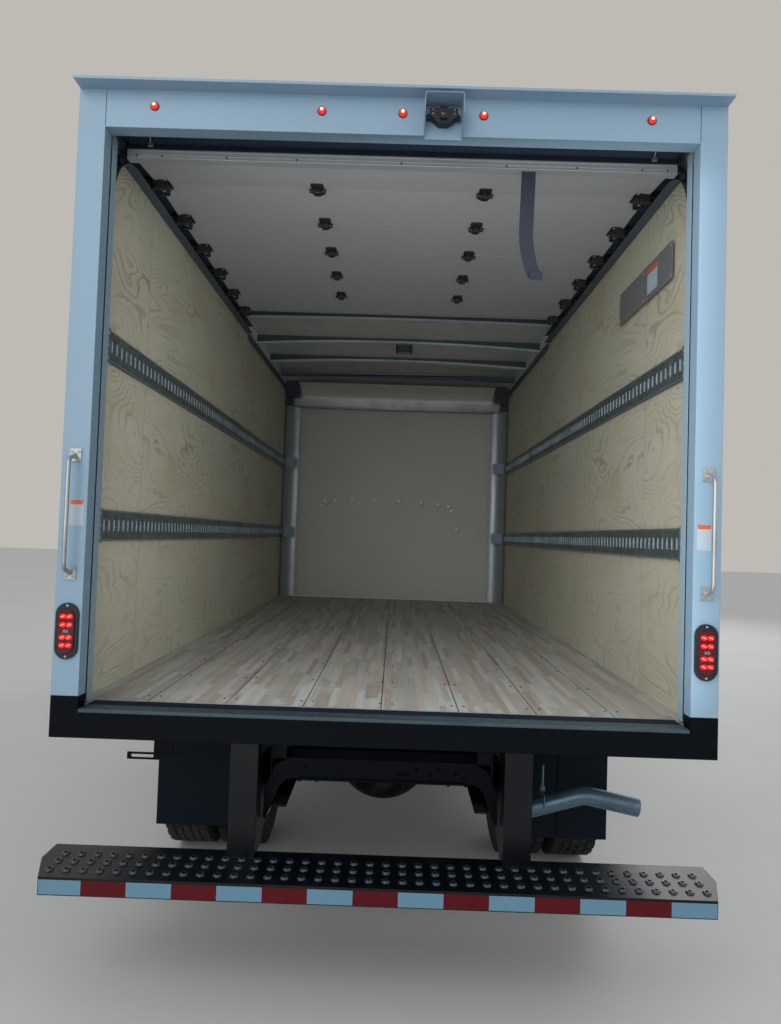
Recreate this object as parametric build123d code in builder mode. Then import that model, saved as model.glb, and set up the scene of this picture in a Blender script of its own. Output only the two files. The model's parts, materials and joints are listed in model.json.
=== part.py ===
"""A box truck: low-cab-forward chassis with a dry-freight body, open at the back.

Millimetres. +Y points forward, +X to the truck's right, +Z up. The origin is on the ground, on the
centreline, at half the overall length.
"""
import math
import os

from build123d import *

# Driving dimensions of the whole truck
cab_length = 1720
cab_gap = 80
body_length = 4980
step_reach = 180
overall_length = cab_length + cab_gap + body_length + step_reach
front_y = overall_length / 2
body_front_y = front_y - cab_length - cab_gap
body_rear_y = body_front_y - body_length

front_overhang = 1110
wheelbase = 4470
front_axle_y = front_y - front_overhang
rear_axle_y = front_axle_y - wheelbase

fit_gap = 0.3
shut_gap = 9
SIDES = {"right": 1, "left": -1}

# Tyres and wheels
tyre_radius = 400
tyre_width = 222
rim_radius = 250
rim_wall = 9
front_track = 1670
twin_spacing = 254
axle_z = tyre_radius
hub_radius = 110
spindle_radius = 38
hand_hole_radius = 27
hand_hole_count = 6

# Chassis
rail_spacing = 850
rail_height = 190
rail_flange = 65
rail_wall = 7
rear_track = rail_spacing + 788
longsill_height = 75
longsill_width = 60
cross_height = 76
cross_width = 44
cross_pitch = 406
floor_thickness = 35
floor_z = 954
floor_under_z = floor_z - floor_thickness
cross_under_z = floor_under_z - cross_height
rail_top_z = cross_under_z - longsill_height
rail_under_z = rail_top_z - rail_height
rail_rear_y = body_rear_y + 130
rail_front_y = front_y - 200

# Load body
body_width = 2438
half_body = body_width / 2
roof_z = 3262
cornice_z = 3284
cornice_thickness = 10
cornice_reach = 60
wall_thickness = 46
lining_thickness = 12
skin_thickness = 4
corner_radius = 145
nose_length = 630
nose_drop = 170
half_inside = half_body - wall_thickness
bottom_rail_top_z = floor_z + 12
top_rail_height = 95

# Rear frame
post_width = 101
post_depth = 60
half_opening = half_body - post_width
sill_height = 104
sill_z = floor_z - sill_height
post_foot_z = sill_z + 151
opening_top_z = 3129
frame_front_y = body_rear_y + post_depth

# Cab
cab_width = 2000
half_cab = cab_width / 2
cab_wall = 45
cab_bottom_z = 672
cab_floor_z = 925
cab_roof_z = 2275
belt_z = 1400
cab_back_y = front_y - cab_length
cab_face_y = front_y - 60
cab_lean = 60
arch_front_y = front_axle_y + 490
glass_thickness = 5
glass_inset = 14
tunnel_half = 350
tunnel_top_z = 1120
tunnel_front_y = front_axle_y + 620
cab_split_z = 2120
side_cut_x = half_cab - cab_lean - cab_wall - 12

pieces = {}


def keep(name, piece):
    """Label a finished piece and keep it for writing."""
    piece.part.label = name
    pieces[name] = piece.part


def block(x, y, z, mode=Mode.ADD):
    """Add a box to the open part between two values on each axis."""
    centre = ((x[0] + x[1]) / 2, (y[0] + y[1]) / 2, (z[0] + z[1]) / 2)
    with Locations(centre):
        Box(abs(x[1] - x[0]), abs(y[1] - y[0]), abs(z[1] - z[0]), mode=mode)


def rod(start, end, radius, mode=Mode.ADD):
    """Add a round bar between two points to the open part."""
    along = Vector(end) - Vector(start)
    with Locations(Plane(origin=start, z_dir=along)):
        Cylinder(radius, along.length, align=(Align.CENTER, Align.CENTER, Align.MIN), mode=mode)


def side_plane(x):
    """Plane seen from the truck's right, with local x forward and local y up."""
    return Plane.YZ.offset(x)


def back_plane(y):
    """Plane seen from behind, with local x to the right and local y up; its normal points back."""
    return Plane.XZ.offset(-y)


def prism(plane, outline, radius, near, far):
    """Solid of a rounded outline on a plane, between two distances along the plane's normal."""
    with BuildPart() as solid:
        with BuildSketch(plane.offset(near)):
            with BuildLine():
                Polyline(*outline, close=True)
            make_face()
            if radius:
                fillet(vertices(), radius)
        extrude(amount=far - near)
    return solid.part


def mirrored(name, piece):
    """Keep a copy of a right-hand piece on the left."""
    with BuildPart() as twin:
        mirror(piece.part, about=Plane.YZ)
    keep(name, twin)


# Chassis rails: two channels with their open sides inwards, each with a hinge pin for the cab at its front
cab_pivot_y = front_y - 110
cab_pivot_z = 640
cab_pin_radius = 14
cab_eye_radius = 26
cab_lug_width = 50
with BuildPart() as frame_rails:
    for sign in SIDES.values():
        web = sign * rail_spacing / 2
        with BuildSketch(back_plane(rail_rear_y)):
            with BuildLine():
                Polyline(
                    (web, rail_under_z), (web, rail_top_z), (web - sign * rail_flange, rail_top_z),
                    (web - sign * rail_flange, rail_top_z - rail_wall),
                    (web - sign * rail_wall, rail_top_z - rail_wall),
                    (web - sign * rail_wall, rail_under_z + rail_wall),
                    (web - sign * rail_flange, rail_under_z + rail_wall),
                    (web - sign * rail_flange, rail_under_z), close=True,
                )
            make_face()
        extrude(amount=-(rail_front_y - rail_rear_y))
        block((web - sign * rail_wall, web), (rail_front_y, cab_pivot_y),
              (cab_pivot_z - 40, cab_pivot_z + cab_eye_radius))
        inner_face = (web - sign * rail_wall, cab_pivot_y, cab_pivot_z)
        outer_face = (web, cab_pivot_y, cab_pivot_z)
        rod(inner_face, outer_face, cab_eye_radius)
        rod(outer_face, (web + sign * (cab_lug_width + 10), cab_pivot_y, cab_pivot_z), cab_pin_radius)
keep("frame_rails", frame_rails)

# Cross members between the rail webs: a channel ahead of and behind each axle, and at the rails' ends
CROSS_MEMBERS = [rail_rear_y + 250, rear_axle_y + 660, rear_axle_y + 1660, rear_axle_y + 2660,
                 front_axle_y - 1110, front_axle_y + 760]
cross_member_height = 130
cross_member_depth = 90
half_between = rail_spacing / 2 - rail_wall - fit_gap
with BuildPart() as frame_cross_members:
    for y in CROSS_MEMBERS:
        middle_z = (rail_top_z + rail_under_z) / 2
        with BuildSketch(side_plane(0)):
            with Locations((y, middle_z)):
                Rectangle(cross_member_depth, cross_member_height)
            with Locations((y, middle_z - rail_wall)):
                Rectangle(cross_member_depth - 2 * rail_wall, cross_member_height - rail_wall,
                          mode=Mode.SUBTRACT)
        extrude(amount=half_between, both=True)

# Stamped rear cross member: an arch over the gap between the rail ends, with small holes and a lower flange
rear_member_depth = 8
rear_member_y = rail_rear_y - fit_gap
half_span = rail_spacing / 2 + 20
arch_low_z = sill_z - 160
arch_foot_z = sill_z - 313
arch_half = rail_spacing / 2 - 49
arch_corner = 60
arch_flange = 22
flange_wall = 5
MEMBER = [(-half_span, arch_foot_z), (-half_span, sill_z - 200), (-half_span + 40, sill_z - 110),
          (-half_span + 93, rail_top_z), (half_span - 93, rail_top_z), (half_span - 40, sill_z - 110),
          (half_span, sill_z - 200), (half_span, arch_foot_z)]
arch_splay = 0.39
arch_base_half = arch_half + arch_splay * (arch_low_z - arch_foot_z + 150)
ARCH = [(-arch_base_half, arch_foot_z - 150), (-arch_half, arch_low_z), (arch_half, arch_low_z),
        (arch_base_half, arch_foot_z - 150)]
# Holes in it: x, height from the sill's lower edge, radius
MEMBER_HOLES = [(-290, -118, 5), (-150, -122, 4), (66, -130, 9), (84, -130, 7), (100, -130, 7),
                (135, -112, 9), (184, -128, 8), (216, -112, 6), (280, -124, 8), (308, -136, 5),
                (324, -136, 5)]
with BuildPart() as rear_cross_member:
    add(prism(back_plane(rear_member_y), MEMBER, 0, 0, rear_member_depth))
    add(prism(back_plane(rear_member_y), ARCH, arch_corner, -1, rear_member_depth + 1), mode=Mode.SUBTRACT)
    with BuildSketch(back_plane(rear_member_y)):
        for x, z, radius in MEMBER_HOLES:
            with Locations((x, sill_z + z)):
                Circle(radius)
    extrude(amount=rear_member_depth, mode=Mode.SUBTRACT)
    block((-arch_half + arch_corner, arch_half - arch_corner), (rear_member_y - arch_flange, rear_member_y),
          (arch_low_z, arch_low_z + flange_wall))
with BuildPart() as all_cross_members:
    add([frame_cross_members.part, rear_cross_member.part])
keep("frame_cross_members", all_cross_members)

# Engine and gearbox, one plain block
engine_front_y = front_axle_y + 530
engine_rear_y = front_axle_y - 310
engine_half = 280
engine_low_z = 500
engine_top_z = 1060
gearbox_half = 165
gearbox_low_z = 445
shaft_front_z = 535
mount_y = front_axle_y + 130
mount_half_depth = 50
mount_rise = 30
gearbox_length = 560
gearbox_drop = 60
gearbox_rear_y = engine_rear_y - gearbox_length
with BuildPart() as engine_block:
    block((-engine_half, engine_half), (engine_rear_y, engine_front_y), (engine_low_z, engine_top_z))
    block((-gearbox_half, gearbox_half), (gearbox_rear_y, engine_rear_y),
          (gearbox_low_z, rail_top_z - gearbox_drop))
    block((-half_between, half_between), (mount_y - mount_half_depth, mount_y + mount_half_depth),
          (rail_under_z + mount_rise, rail_top_z - gearbox_drop))
keep("engine_block", engine_block)

# Rear axle: banjo housing with tubes and spindles, level with the wheel centres
axle_tube_radius = 50
banjo_radius = 165
spring_width = 70
brake_radius = 130
brake_inset = 30
axle_flange_x = rear_track / 2 - twin_spacing / 2 - tyre_width / 2 - brake_inset
rear_hub_inner_x = axle_flange_x + 6
shaft_radius = 45
nose_y = rear_axle_y + banjo_radius + 140
pinion_radius = 75
banjo_half_width = 240
flange_depth = 12
spindle_reach = 60
with BuildPart() as rear_axle:
    rod((-axle_flange_x, rear_axle_y, axle_z), (axle_flange_x, rear_axle_y, axle_z), axle_tube_radius)
    with BuildSketch(Plane.XY.offset(axle_z)):
        with BuildLine():
            crown = ThreePointArc((-banjo_half_width, rear_axle_y), (0, rear_axle_y + banjo_radius),
                                  (banjo_half_width, rear_axle_y))
            Line(crown @ 1, crown @ 0)
        make_face()
    revolve(axis=Axis((0, rear_axle_y, axle_z), (1, 0, 0)))
    rod((0, rear_axle_y, axle_z), (0, nose_y, axle_z + 20), pinion_radius)
    for sign in SIDES.values():
        flange = sign * axle_flange_x
        rod((flange - sign * flange_depth, rear_axle_y, axle_z), (flange, rear_axle_y, axle_z), brake_radius)
        rod((flange, rear_axle_y, axle_z), (sign * (rear_track / 2 + spindle_reach), rear_axle_y, axle_z),
            spindle_radius)
keep("rear_axle", rear_axle)

# Propeller shaft between the gearbox and the axle's nose
with BuildPart() as propeller_shaft:
    start = Vector(0, gearbox_rear_y - fit_gap, shaft_front_z)
    end = Vector(0, nose_y + 10, axle_z + 24)
    along = (end - start).normalized()
    rod(start - along * 5, end, shaft_radius)
    rod(start - along * -60, start - along * -120, 62)
    rod(end - along * 120, end - along * 60, 62)
    block((-200, 200), (nose_y - 200, nose_y + 9.7), (0, 700), mode=Mode.SUBTRACT)
    block((-200, 200), (gearbox_rear_y - fit_gap, gearbox_rear_y + 200), (0, 900), mode=Mode.SUBTRACT)
keep("propeller_shaft", propeller_shaft)

# Leaf springs under the rails: axle's y, half length, eye height, pack thickness, seat on the axle
leaf_clearance = 0.3
spring_x = rail_spacing / 2 - spring_width / 2
front_beam_top_z = axle_z - 20
SPRINGS = [(front_axle_y, 560, 85, 46, front_beam_top_z),
           (rear_axle_y, 620, 85, 70, axle_z + axle_tube_radius)]
eye_depth = 12
hanger_depth = 40
with BuildPart() as leaf_springs:
    for axle_y, half_length, rise, pack, seat in SPRINGS:
        low_z = seat + leaf_clearance
        for sign in SIDES.values():
            with BuildSketch(side_plane(sign * spring_x)):
                with BuildLine():
                    eye_top = low_z + rise + eye_depth
                    top = ThreePointArc((axle_y - half_length, eye_top), (axle_y, low_z + pack),
                                        (axle_y + half_length, eye_top))
                    Line(top @ 1, (axle_y + half_length, low_z + rise))
                    ThreePointArc((axle_y + half_length, low_z + rise), (axle_y, low_z),
                                  (axle_y - half_length, low_z + rise))
                    Line((axle_y - half_length, low_z + rise), top @ 0)
                make_face()
            extrude(amount=spring_width / 2, both=True)
            for end in (-1, 1):
                hanger_y = axle_y + end * (half_length - hanger_depth / 2)
                block((sign * (spring_x - spring_width / 2), sign * (spring_x + spring_width / 2)),
                      (hanger_y - hanger_depth / 2, hanger_y + hanger_depth / 2),
                      (low_z + rise, rail_under_z - fit_gap))
keep("leaf_springs", leaf_springs)

# Front axle beam with its kingpins
kingpin_x = front_track / 2 - 125
kingpin_radius = 17
eye_height = 70
beam_depth = 80
beam_height = 76
yoke_gap = 5
beam_end_x = kingpin_x - 52
with BuildPart() as front_axle_beam:
    block((-beam_end_x, beam_end_x), (front_axle_y - beam_depth / 2, front_axle_y + beam_depth / 2),
          (front_beam_top_z - beam_height, front_beam_top_z))
    for sign in SIDES.values():
        with Locations((sign * kingpin_x, front_axle_y, axle_z)):
            Cylinder(42, eye_height)
            Cylinder(kingpin_radius, eye_height + 90)
        block((sign * (beam_end_x - 60), sign * beam_end_x), (front_axle_y - 40, front_axle_y + 40),
              (front_beam_top_z - beam_height, axle_z + eye_height / 2))
        block((sign * (beam_end_x - 60), sign * kingpin_x), (front_axle_y - 34, front_axle_y + 34),
              (axle_z - eye_height / 2, axle_z + eye_height / 2))
keep("front_axle_beam", front_axle_beam)

# Steering knuckles: lugs above and below the axle's eye, spindle and brake plate
front_hub_inner_x = front_track / 2 - 20
lug_height = 36
with BuildPart() as steering_knuckle_right:
    for way in (-1, 1):
        lug_z = axle_z + way * (eye_height / 2 + yoke_gap + lug_height / 2)
        with Locations((kingpin_x, front_axle_y, lug_z)):
            Cylinder(44, lug_height)
            Cylinder(kingpin_radius + fit_gap, lug_height, mode=Mode.SUBTRACT)
    block((kingpin_x + 47.3, kingpin_x + 75), (front_axle_y - 44, front_axle_y + 44),
          (axle_z - eye_height / 2 - yoke_gap - lug_height, axle_z + eye_height / 2 + yoke_gap + lug_height))
    for way in (-1, 1):
        edge = axle_z + way * (eye_height / 2 + yoke_gap)
        block((kingpin_x + 30, kingpin_x + 60), (front_axle_y - 30, front_axle_y + 30),
              (edge, edge + way * lug_height))
    rod((kingpin_x + 60, front_axle_y, axle_z), (front_track / 2 + 55, front_axle_y, axle_z), spindle_radius)
    rod((kingpin_x + 70, front_axle_y, axle_z), (kingpin_x + 82, front_axle_y, axle_z), 150)
keep("steering_knuckle_right", steering_knuckle_right)
mirrored("steering_knuckle_left", steering_knuckle_right)


def wheel_sketch_plane():
    """Plane through the wheel's axis, with local x along the axis and local y outwards."""
    return Plane(origin=(0, 0, axle_z), x_dir=(1, 0, 0), z_dir=(0, -1, 0))


def rims_of(track, hub_inner, disc_x, centres):
    """Right-hand hub and disc with hand holes, and one rim for each tyre centre."""
    axis = Axis((0, 0, axle_z), (1, 0, 0))
    with BuildPart() as rims:
        with BuildSketch(wheel_sketch_plane()):
            with BuildLine():
                Polyline((hub_inner, spindle_radius + fit_gap), (hub_inner, hub_radius),
                         (disc_x - 12, hub_radius), (disc_x - 6, rim_radius - rim_wall),
                         (disc_x + 6, rim_radius - rim_wall),
                         (disc_x + 12, hub_radius), (track / 2 + 62, hub_radius - 35), (track / 2 + 95, 60),
                         (track / 2 + 95, 0), (track / 2 + 62, 0),
                         (track / 2 + 62, spindle_radius + fit_gap), close=True)
            make_face()
            with Locations(((centres[0] + centres[-1]) / 2, rim_radius - rim_wall / 2)):
                Rectangle(centres[-1] - centres[0] + tyre_width - 40, rim_wall)
            for centre in centres:
                for way in (-1, 1):
                    with Locations((centre + way * (tyre_width / 2 - 22), rim_radius + 4)):
                        Rectangle(8, 24)
        revolve(axis=axis)
        with Locations(Plane(origin=(disc_x, 0, axle_z), z_dir=(1, 0, 0))):
            with PolarLocations((hub_radius + rim_radius) / 2, hand_hole_count):
                Cylinder(hand_hole_radius, 60, mode=Mode.SUBTRACT)
    return rims


def tyres_of(centres):
    """Right-hand tyres, one for each centre, shouldered and bulging at mid height."""
    bead = tyre_width / 2 - 26 - fit_gap
    bulge = (rim_radius + tyre_radius) / 2
    shoulder = tyre_radius - 16
    with BuildPart() as tyres:
        for centre in centres:
            inner, outer = centre - tyre_width / 2, centre + tyre_width / 2
            with BuildSketch(wheel_sketch_plane()):
                with BuildLine():
                    Polyline((centre - bead, rim_radius + fit_gap), (centre + bead, rim_radius + fit_gap),
                             (centre + bead, rim_radius + 18), (outer - 8, rim_radius + 34))
                    ThreePointArc((outer - 8, rim_radius + 34), (outer, bulge), (outer - 14, shoulder))
                    Polyline((outer - 14, shoulder), (outer - 34, tyre_radius), (inner + 34, tyre_radius),
                             (inner + 14, shoulder))
                    ThreePointArc((inner + 14, shoulder), (inner, bulge), (inner + 8, rim_radius + 34))
                    Polyline((inner + 8, rim_radius + 34), (centre - bead, rim_radius + 18),
                             (centre - bead, rim_radius + fit_gap))
                make_face()
            revolve(axis=Axis((0, 0, axle_z), (1, 0, 0)))
    return tyres


WHEELS = {
    "front": (front_track, front_hub_inner_x, front_track / 2 + 20, (front_track / 2,), front_axle_y),
    "rear": (rear_track, rear_hub_inner_x, rear_track / 2,
             (rear_track / 2 - twin_spacing / 2, rear_track / 2 + twin_spacing / 2), rear_axle_y),
}
for label, (track, hub_inner, disc_x, centres, axle_y) in WHEELS.items():
    for kind, shape in (("rim", rims_of(track, hub_inner, disc_x, centres)), ("tyre", tyres_of(centres))):
        name = f"{label}_{kind}" + ("s" if label == "rear" else "")
        with BuildPart() as right:
            add(shape.part.moved(Location((0, axle_y, 0))))
        keep(f"{name}_right", right)
        mirrored(f"{name}_left", right)

# Fuel tank on the left, battery box on the right, both hung from the rails
TANK = ((-rail_spacing / 2 - 470, -rail_spacing / 2 - 30), (rear_axle_y + 1400, rear_axle_y + 2350),
        (395, rail_top_z - 20))
with BuildPart() as fuel_tank:
    block(*TANK)
    fillet(fuel_tank.edges().filter_by(Axis.Y), 60)
    for y in (TANK[1][0] + 180, TANK[1][1] - 180):
        block((-rail_spacing / 2 - 60, -rail_spacing / 2 - fit_gap), (y - 30, y + 30),
              (rail_under_z, rail_top_z - 40))
keep("fuel_tank", fuel_tank)
BATTERY = ((rail_spacing / 2 + 20, rail_spacing / 2 + 400), (front_axle_y - 1520, front_axle_y - 1020),
           (430, 740))
with BuildPart() as battery_box:
    block(*BATTERY)
    fillet(battery_box.edges().filter_by(Axis.Z), 20)
    for y in (BATTERY[1][0] + 80, BATTERY[1][1] - 80):
        block((rail_spacing / 2 + fit_gap, BATTERY[0][0] + 5), (y - 25, y + 25),
              (rail_under_z, rail_top_z - 40))
keep("battery_box", battery_box)

# Exhaust: muffler beside the right rail, and the tailpipe between rail and tyre to the right side behind
pipe_radius = 38
pipe_wall = 2.5
pipe_y = body_rear_y + 463
muffler_x = rail_spacing / 2 + 180
muffler_z = 560
muffler_radius = 130
MUFFLER_Y = (rear_axle_y + 1250, rear_axle_y + 2150)
front_pipe_y = front_axle_y - 1590
pipe_x = (rail_spacing / 2 + rear_track / 2 - twin_spacing / 2 - tyre_width / 2) / 2
pipe_over_z = 575
pipe_bend = 95
with BuildPart() as muffler:
    rod((muffler_x, MUFFLER_Y[0], muffler_z), (muffler_x, MUFFLER_Y[1], muffler_z), muffler_radius)
    rod((muffler_x, MUFFLER_Y[1], muffler_z), (muffler_x, front_pipe_y, muffler_z), pipe_radius)
    for y in (MUFFLER_Y[0] + 200, MUFFLER_Y[1] - 200):
        block((rail_spacing / 2 + fit_gap, muffler_x - 60), (y - 15, y + 15),
              (rail_under_z + 40, rail_under_z + 90))
TAILPIPE = [
    (muffler_x, MUFFLER_Y[0] + 5, muffler_z), (muffler_x, MUFFLER_Y[0] - 160, muffler_z),
    (pipe_x, MUFFLER_Y[0] - 400, pipe_over_z), (pipe_x, rear_axle_y - 480, pipe_over_z),
    (pipe_x, pipe_y, sill_z - 410), (pipe_x + 360, pipe_y, sill_z - 306), (1098, pipe_y, sill_z - 352),
]
with BuildPart() as tailpipe:
    with BuildLine() as pipe_path:
        FilletPolyline(*TAILPIPE, radius=pipe_bend)
    with BuildSketch(Plane(origin=pipe_path.line @ 0, z_dir=pipe_path.line % 0)):
        Circle(pipe_radius)
        Circle(pipe_radius - pipe_wall, mode=Mode.SUBTRACT)
    sweep()
with BuildPart() as exhaust:
    add([muffler.part, tailpipe.part])
keep("exhaust", exhaust)

# Mud flaps behind the rear wheels, hung from a bar under the body
flap_y = body_rear_y + 764
flap_low_z = sill_z - 619
FLAP_X = (rear_track / 2 - 269, rear_track / 2 + 241)
flap_thickness = 7
FLAP_BAR_Z = (680, 720)
with BuildPart() as mud_flaps:
    for sign in SIDES.values():
        xs = (sign * FLAP_X[0], sign * FLAP_X[1])
        block(xs, (flap_y, flap_y + flap_thickness), (flap_low_z, FLAP_BAR_Z[1]))
        block((sign * (rail_spacing / 2 + fit_gap), xs[1]), (flap_y + flap_thickness, flap_y + 40),
              FLAP_BAR_Z)
keep("mud_flaps", mud_flaps)

# Step bumper: tapered channel with an open underside, on two posts with diagonal gussets
step_top_z = sill_z - 412
step_face = 61
step_wall = 5
STEP_OUTLINE = [(-1145, -step_reach), (1145, -step_reach), (1200, -45), (1200, 66), (-1200, 66),
                (-1200, -45)]
post_x = rail_spacing / 2 + 77
step_post_width = 102
step_post_depth = 60
step_post_y = body_rear_y + 38
gusset_wall = 8
gusset_reach = 330
OUTLINE_POINTS = [(x, body_rear_y + y) for x, y in STEP_OUTLINE]
with BuildPart() as step_bumper:
    add(prism(Plane.XY, OUTLINE_POINTS, 0, step_top_z - step_face, step_top_z))
    with BuildSketch(Plane.XY.offset(step_top_z - step_face)):
        with BuildLine():
            Polyline(*OUTLINE_POINTS, close=True)
        make_face()
        offset(amount=-step_wall, kind=Kind.INTERSECTION)
    extrude(amount=step_face - step_wall, mode=Mode.SUBTRACT)
    for sign in SIDES.values():
        near, far = sign * (post_x - step_post_width / 2), sign * (post_x + step_post_width / 2)
        post_front = step_post_y + step_post_depth / 2
        block((near, far), (step_post_y - step_post_depth / 2, post_front), (step_top_z, sill_z - fit_gap))
        block((sign * (rail_spacing / 2 + fit_gap), near), (step_post_y + 250, step_post_y + 325),
              (rail_under_z + 30, rail_top_z - 30))
        gusset = [(post_front - 2, step_top_z), (post_front - 2, sill_z - 60),
                  (step_post_y + gusset_reach, rail_top_z - 20),
                  (step_post_y + gusset_reach, rail_under_z + 20), (post_front + 30, step_top_z)]
        add(prism(side_plane(near), gusset, 0, 0, sign * gusset_wall))
keep("step_bumper", step_bumper)

# Number plate bracket, bare
with BuildPart() as plate_bracket:
    plate_y = body_rear_y + 55
    block((-850, -780), (plate_y, plate_y + 5), (sill_z - 85, sill_z - fit_gap))
    with BuildSketch(back_plane(plate_y)):
        with Locations((-808, sill_z - 72)):
            Rectangle(278, 26)
            SlotOverall(250, 12, mode=Mode.SUBTRACT)
    extrude(amount=5)
keep("plate_bracket", plate_bracket)

# Front bumper with rounded ends, on the rail horns
bumper_height = 200
bumper_top_z = 610
bumper_depth = 80
bumper_wrap = 130
with BuildPart() as front_bumper:
    with BuildSketch(Plane.XY.offset(bumper_top_z - bumper_height)):
        with Locations((0, front_y - bumper_wrap / 2)):
            Rectangle(cab_width, bumper_wrap)
        fillet(vertices().group_by(Axis.Y)[-1], 100)
        with Locations((0, front_y - bumper_depth - bumper_wrap / 2)):
            Rectangle(cab_width - 2 * 60, bumper_wrap, mode=Mode.SUBTRACT)
    extrude(amount=bumper_height)
    for sign in SIDES.values():
        block((sign * (rail_spacing / 2 - 60), sign * (rail_spacing / 2 - rail_wall - fit_gap)),
              (rail_front_y - 60, front_y - bumper_depth + 3), (rail_under_z - 5 + 12, bumper_top_z - 5))
keep("front_bumper", front_bumper)

# Body sills on the rails, and cross members on the sills
body_floor_front_y = body_front_y - wall_thickness
with BuildPart() as longsills:
    for sign in SIDES.values():
        block((sign * (rail_spacing / 2 - longsill_width), sign * rail_spacing / 2),
              (rail_rear_y, body_floor_front_y), (rail_top_z, cross_under_z))
keep("longsills", longsills)
cross_count = int((body_length - 300) // cross_pitch) + 1
with BuildPart() as body_cross_members:
    for index in range(cross_count):
        y = frame_front_y + 130 + index * cross_pitch
        with BuildSketch(side_plane(0)):
            with Locations((y, cross_under_z + cross_height / 2)):
                Rectangle(cross_width, cross_height)
            for way in (-1, 1):
                with Locations((y + way * (cross_width / 4 + 2), cross_under_z + cross_height / 2)):
                    Rectangle(cross_width / 2 - 4, cross_height - 12, mode=Mode.SUBTRACT)
        extrude(amount=half_inside - fit_gap, both=True)
keep("body_cross_members", body_cross_members)


nose_radius = (nose_length**2 + nose_drop**2) / (2 * nose_drop)


def body_form(inset):
    """Outer form of the load body, drawn in by an inset: its side profile cut by its plan."""
    front, top = body_front_y - inset, roof_z - inset
    low = cross_under_z - 4
    radius = nose_radius - inset
    run = nose_length + 60
    end = (body_front_y + 60, roof_z - nose_radius + math.sqrt(radius**2 - run**2))
    with BuildPart() as form:
        with BuildSketch(side_plane(0)):
            with BuildLine():
                Polyline((frame_front_y, top), (frame_front_y, low), (end[0], low), end)
                nose = TangentArc((body_front_y - nose_length, top), end, tangent=(1, 0))
                Line(nose @ 0, (frame_front_y, top))
            make_face()
        extrude(amount=half_body - inset, both=True)
        with BuildSketch(Plane.XY.offset(low)):
            with Locations((0, (frame_front_y + front) / 2)):
                Rectangle(2 * (half_body - inset), front - frame_front_y)
            fillet(vertices().group_by(Axis.Y)[-1], corner_radius - inset)
        extrude(amount=roof_z, mode=Mode.INTERSECT)
    return form.part


body_outer, body_skin, body_inner = (body_form(value) for value in (0, skin_thickness, wall_thickness))
with BuildPart() as load_floor:
    add(body_form(wall_thickness + fit_gap))
    block((-half_body, half_body), (frame_front_y + fit_gap, body_front_y), (floor_under_z, floor_z),
          mode=Mode.INTERSECT)
keep("load_floor", load_floor)

body_corner_y = body_front_y - corner_radius
roof_low_z = roof_z - top_rail_height
wall_seam_y = body_corner_y - 12
lining_front_y = body_corner_y - 40

# Side walls: sheet between a bottom rail and a top rail, and front wall with its rounded corner posts
with BuildPart() as body_shell:
    add(body_skin)
    add(body_inner, mode=Mode.SUBTRACT)
with BuildPart() as side_walls:
    add(body_shell.part)
    block((-half_inside, half_inside), (frame_front_y, body_front_y), (0, roof_z), mode=Mode.SUBTRACT)
    block((-half_body, half_body), (wall_seam_y, body_front_y), (0, roof_z), mode=Mode.SUBTRACT)
    for sign in SIDES.values():
        block((sign * half_inside, sign * (half_inside + lining_thickness)), (frame_front_y, lining_front_y),
              (floor_z, roof_low_z), mode=Mode.SUBTRACT)
        block((sign * (half_body - skin_thickness), sign * half_body), (frame_front_y, wall_seam_y),
              (cross_under_z - 4, bottom_rail_top_z))
keep("side_walls", side_walls)
with BuildPart() as front_wall:
    add(body_shell.part)
    block((-half_body, half_body), (frame_front_y, wall_seam_y + fit_gap), (0, roof_z), mode=Mode.SUBTRACT)
    block((-half_inside + 30, half_inside - 30), (frame_front_y, body_front_y - wall_thickness),
          (floor_z, roof_z), mode=Mode.SUBTRACT)
keep("front_wall", front_wall)

# Plywood linings: one on each wall and a panel on the front wall
front_panel_half = 1029
floor_clearance = 5
with BuildPart() as wall_linings:
    for sign in SIDES.values():
        block((sign * half_inside, sign * (half_inside + lining_thickness)), (frame_front_y, lining_front_y),
              (floor_z, roof_low_z))
    block((-front_panel_half, front_panel_half),
          (body_floor_front_y - lining_thickness - fit_gap, body_floor_front_y - fit_gap),
          (floor_z + floor_clearance, sill_z + 2127))
keep("wall_linings", wall_linings)

# Roof: one sheet over the top rails, curved down at the front, and bows across under it
with BuildPart() as roof_skin:
    add(body_outer)
    add(body_skin, mode=Mode.SUBTRACT)
    nose_start_y = body_front_y - nose_length - 30
    block((-half_body, half_body), (frame_front_y, nose_start_y), (0, roof_low_z), mode=Mode.SUBTRACT)
    block((-half_body, half_body), (nose_start_y, body_front_y), (0, roof_z - nose_drop - 60),
          mode=Mode.SUBTRACT)
keep("roof_skin", roof_skin)
track_end_y = body_rear_y + 2750
bow_height = 34
bow_width = 50
bow_pitch = 612
first_bow = 725
bow_wall = 3
bow_half = half_inside - fit_gap
bow_count = int((body_length - nose_length - first_bow) // bow_pitch) + 1
BOW_DROP = {"over the door": 14, "ahead of it": 38}


def bow(y, width, top, low_end, low_middle):
    """Strip across the body with an arched underside."""
    with BuildPart() as strip:
        with BuildSketch(back_plane(y - width / 2)):
            with BuildLine():
                arc = ThreePointArc((-bow_half, low_end), (0, low_middle), (bow_half, low_end))
                Polyline(arc @ 1, (bow_half, top), (-bow_half, top), arc @ 0)
            make_face()
        extrude(amount=-width)
    return strip.part


with BuildPart() as roof_bows:
    for index in range(bow_count):
        y = body_rear_y + first_bow + index * bow_pitch
        top = roof_z - skin_thickness - fit_gap
        low = top - bow_height
        drop = BOW_DROP["over the door" if y < track_end_y + bow_width else "ahead of it"]
        add(bow(y, bow_width, top, low - drop, low))
        add(bow(y, bow_width - 24, top - bow_wall, low - drop - 1, low - 1), mode=Mode.SUBTRACT)
keep("roof_bows", roof_bows)

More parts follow.
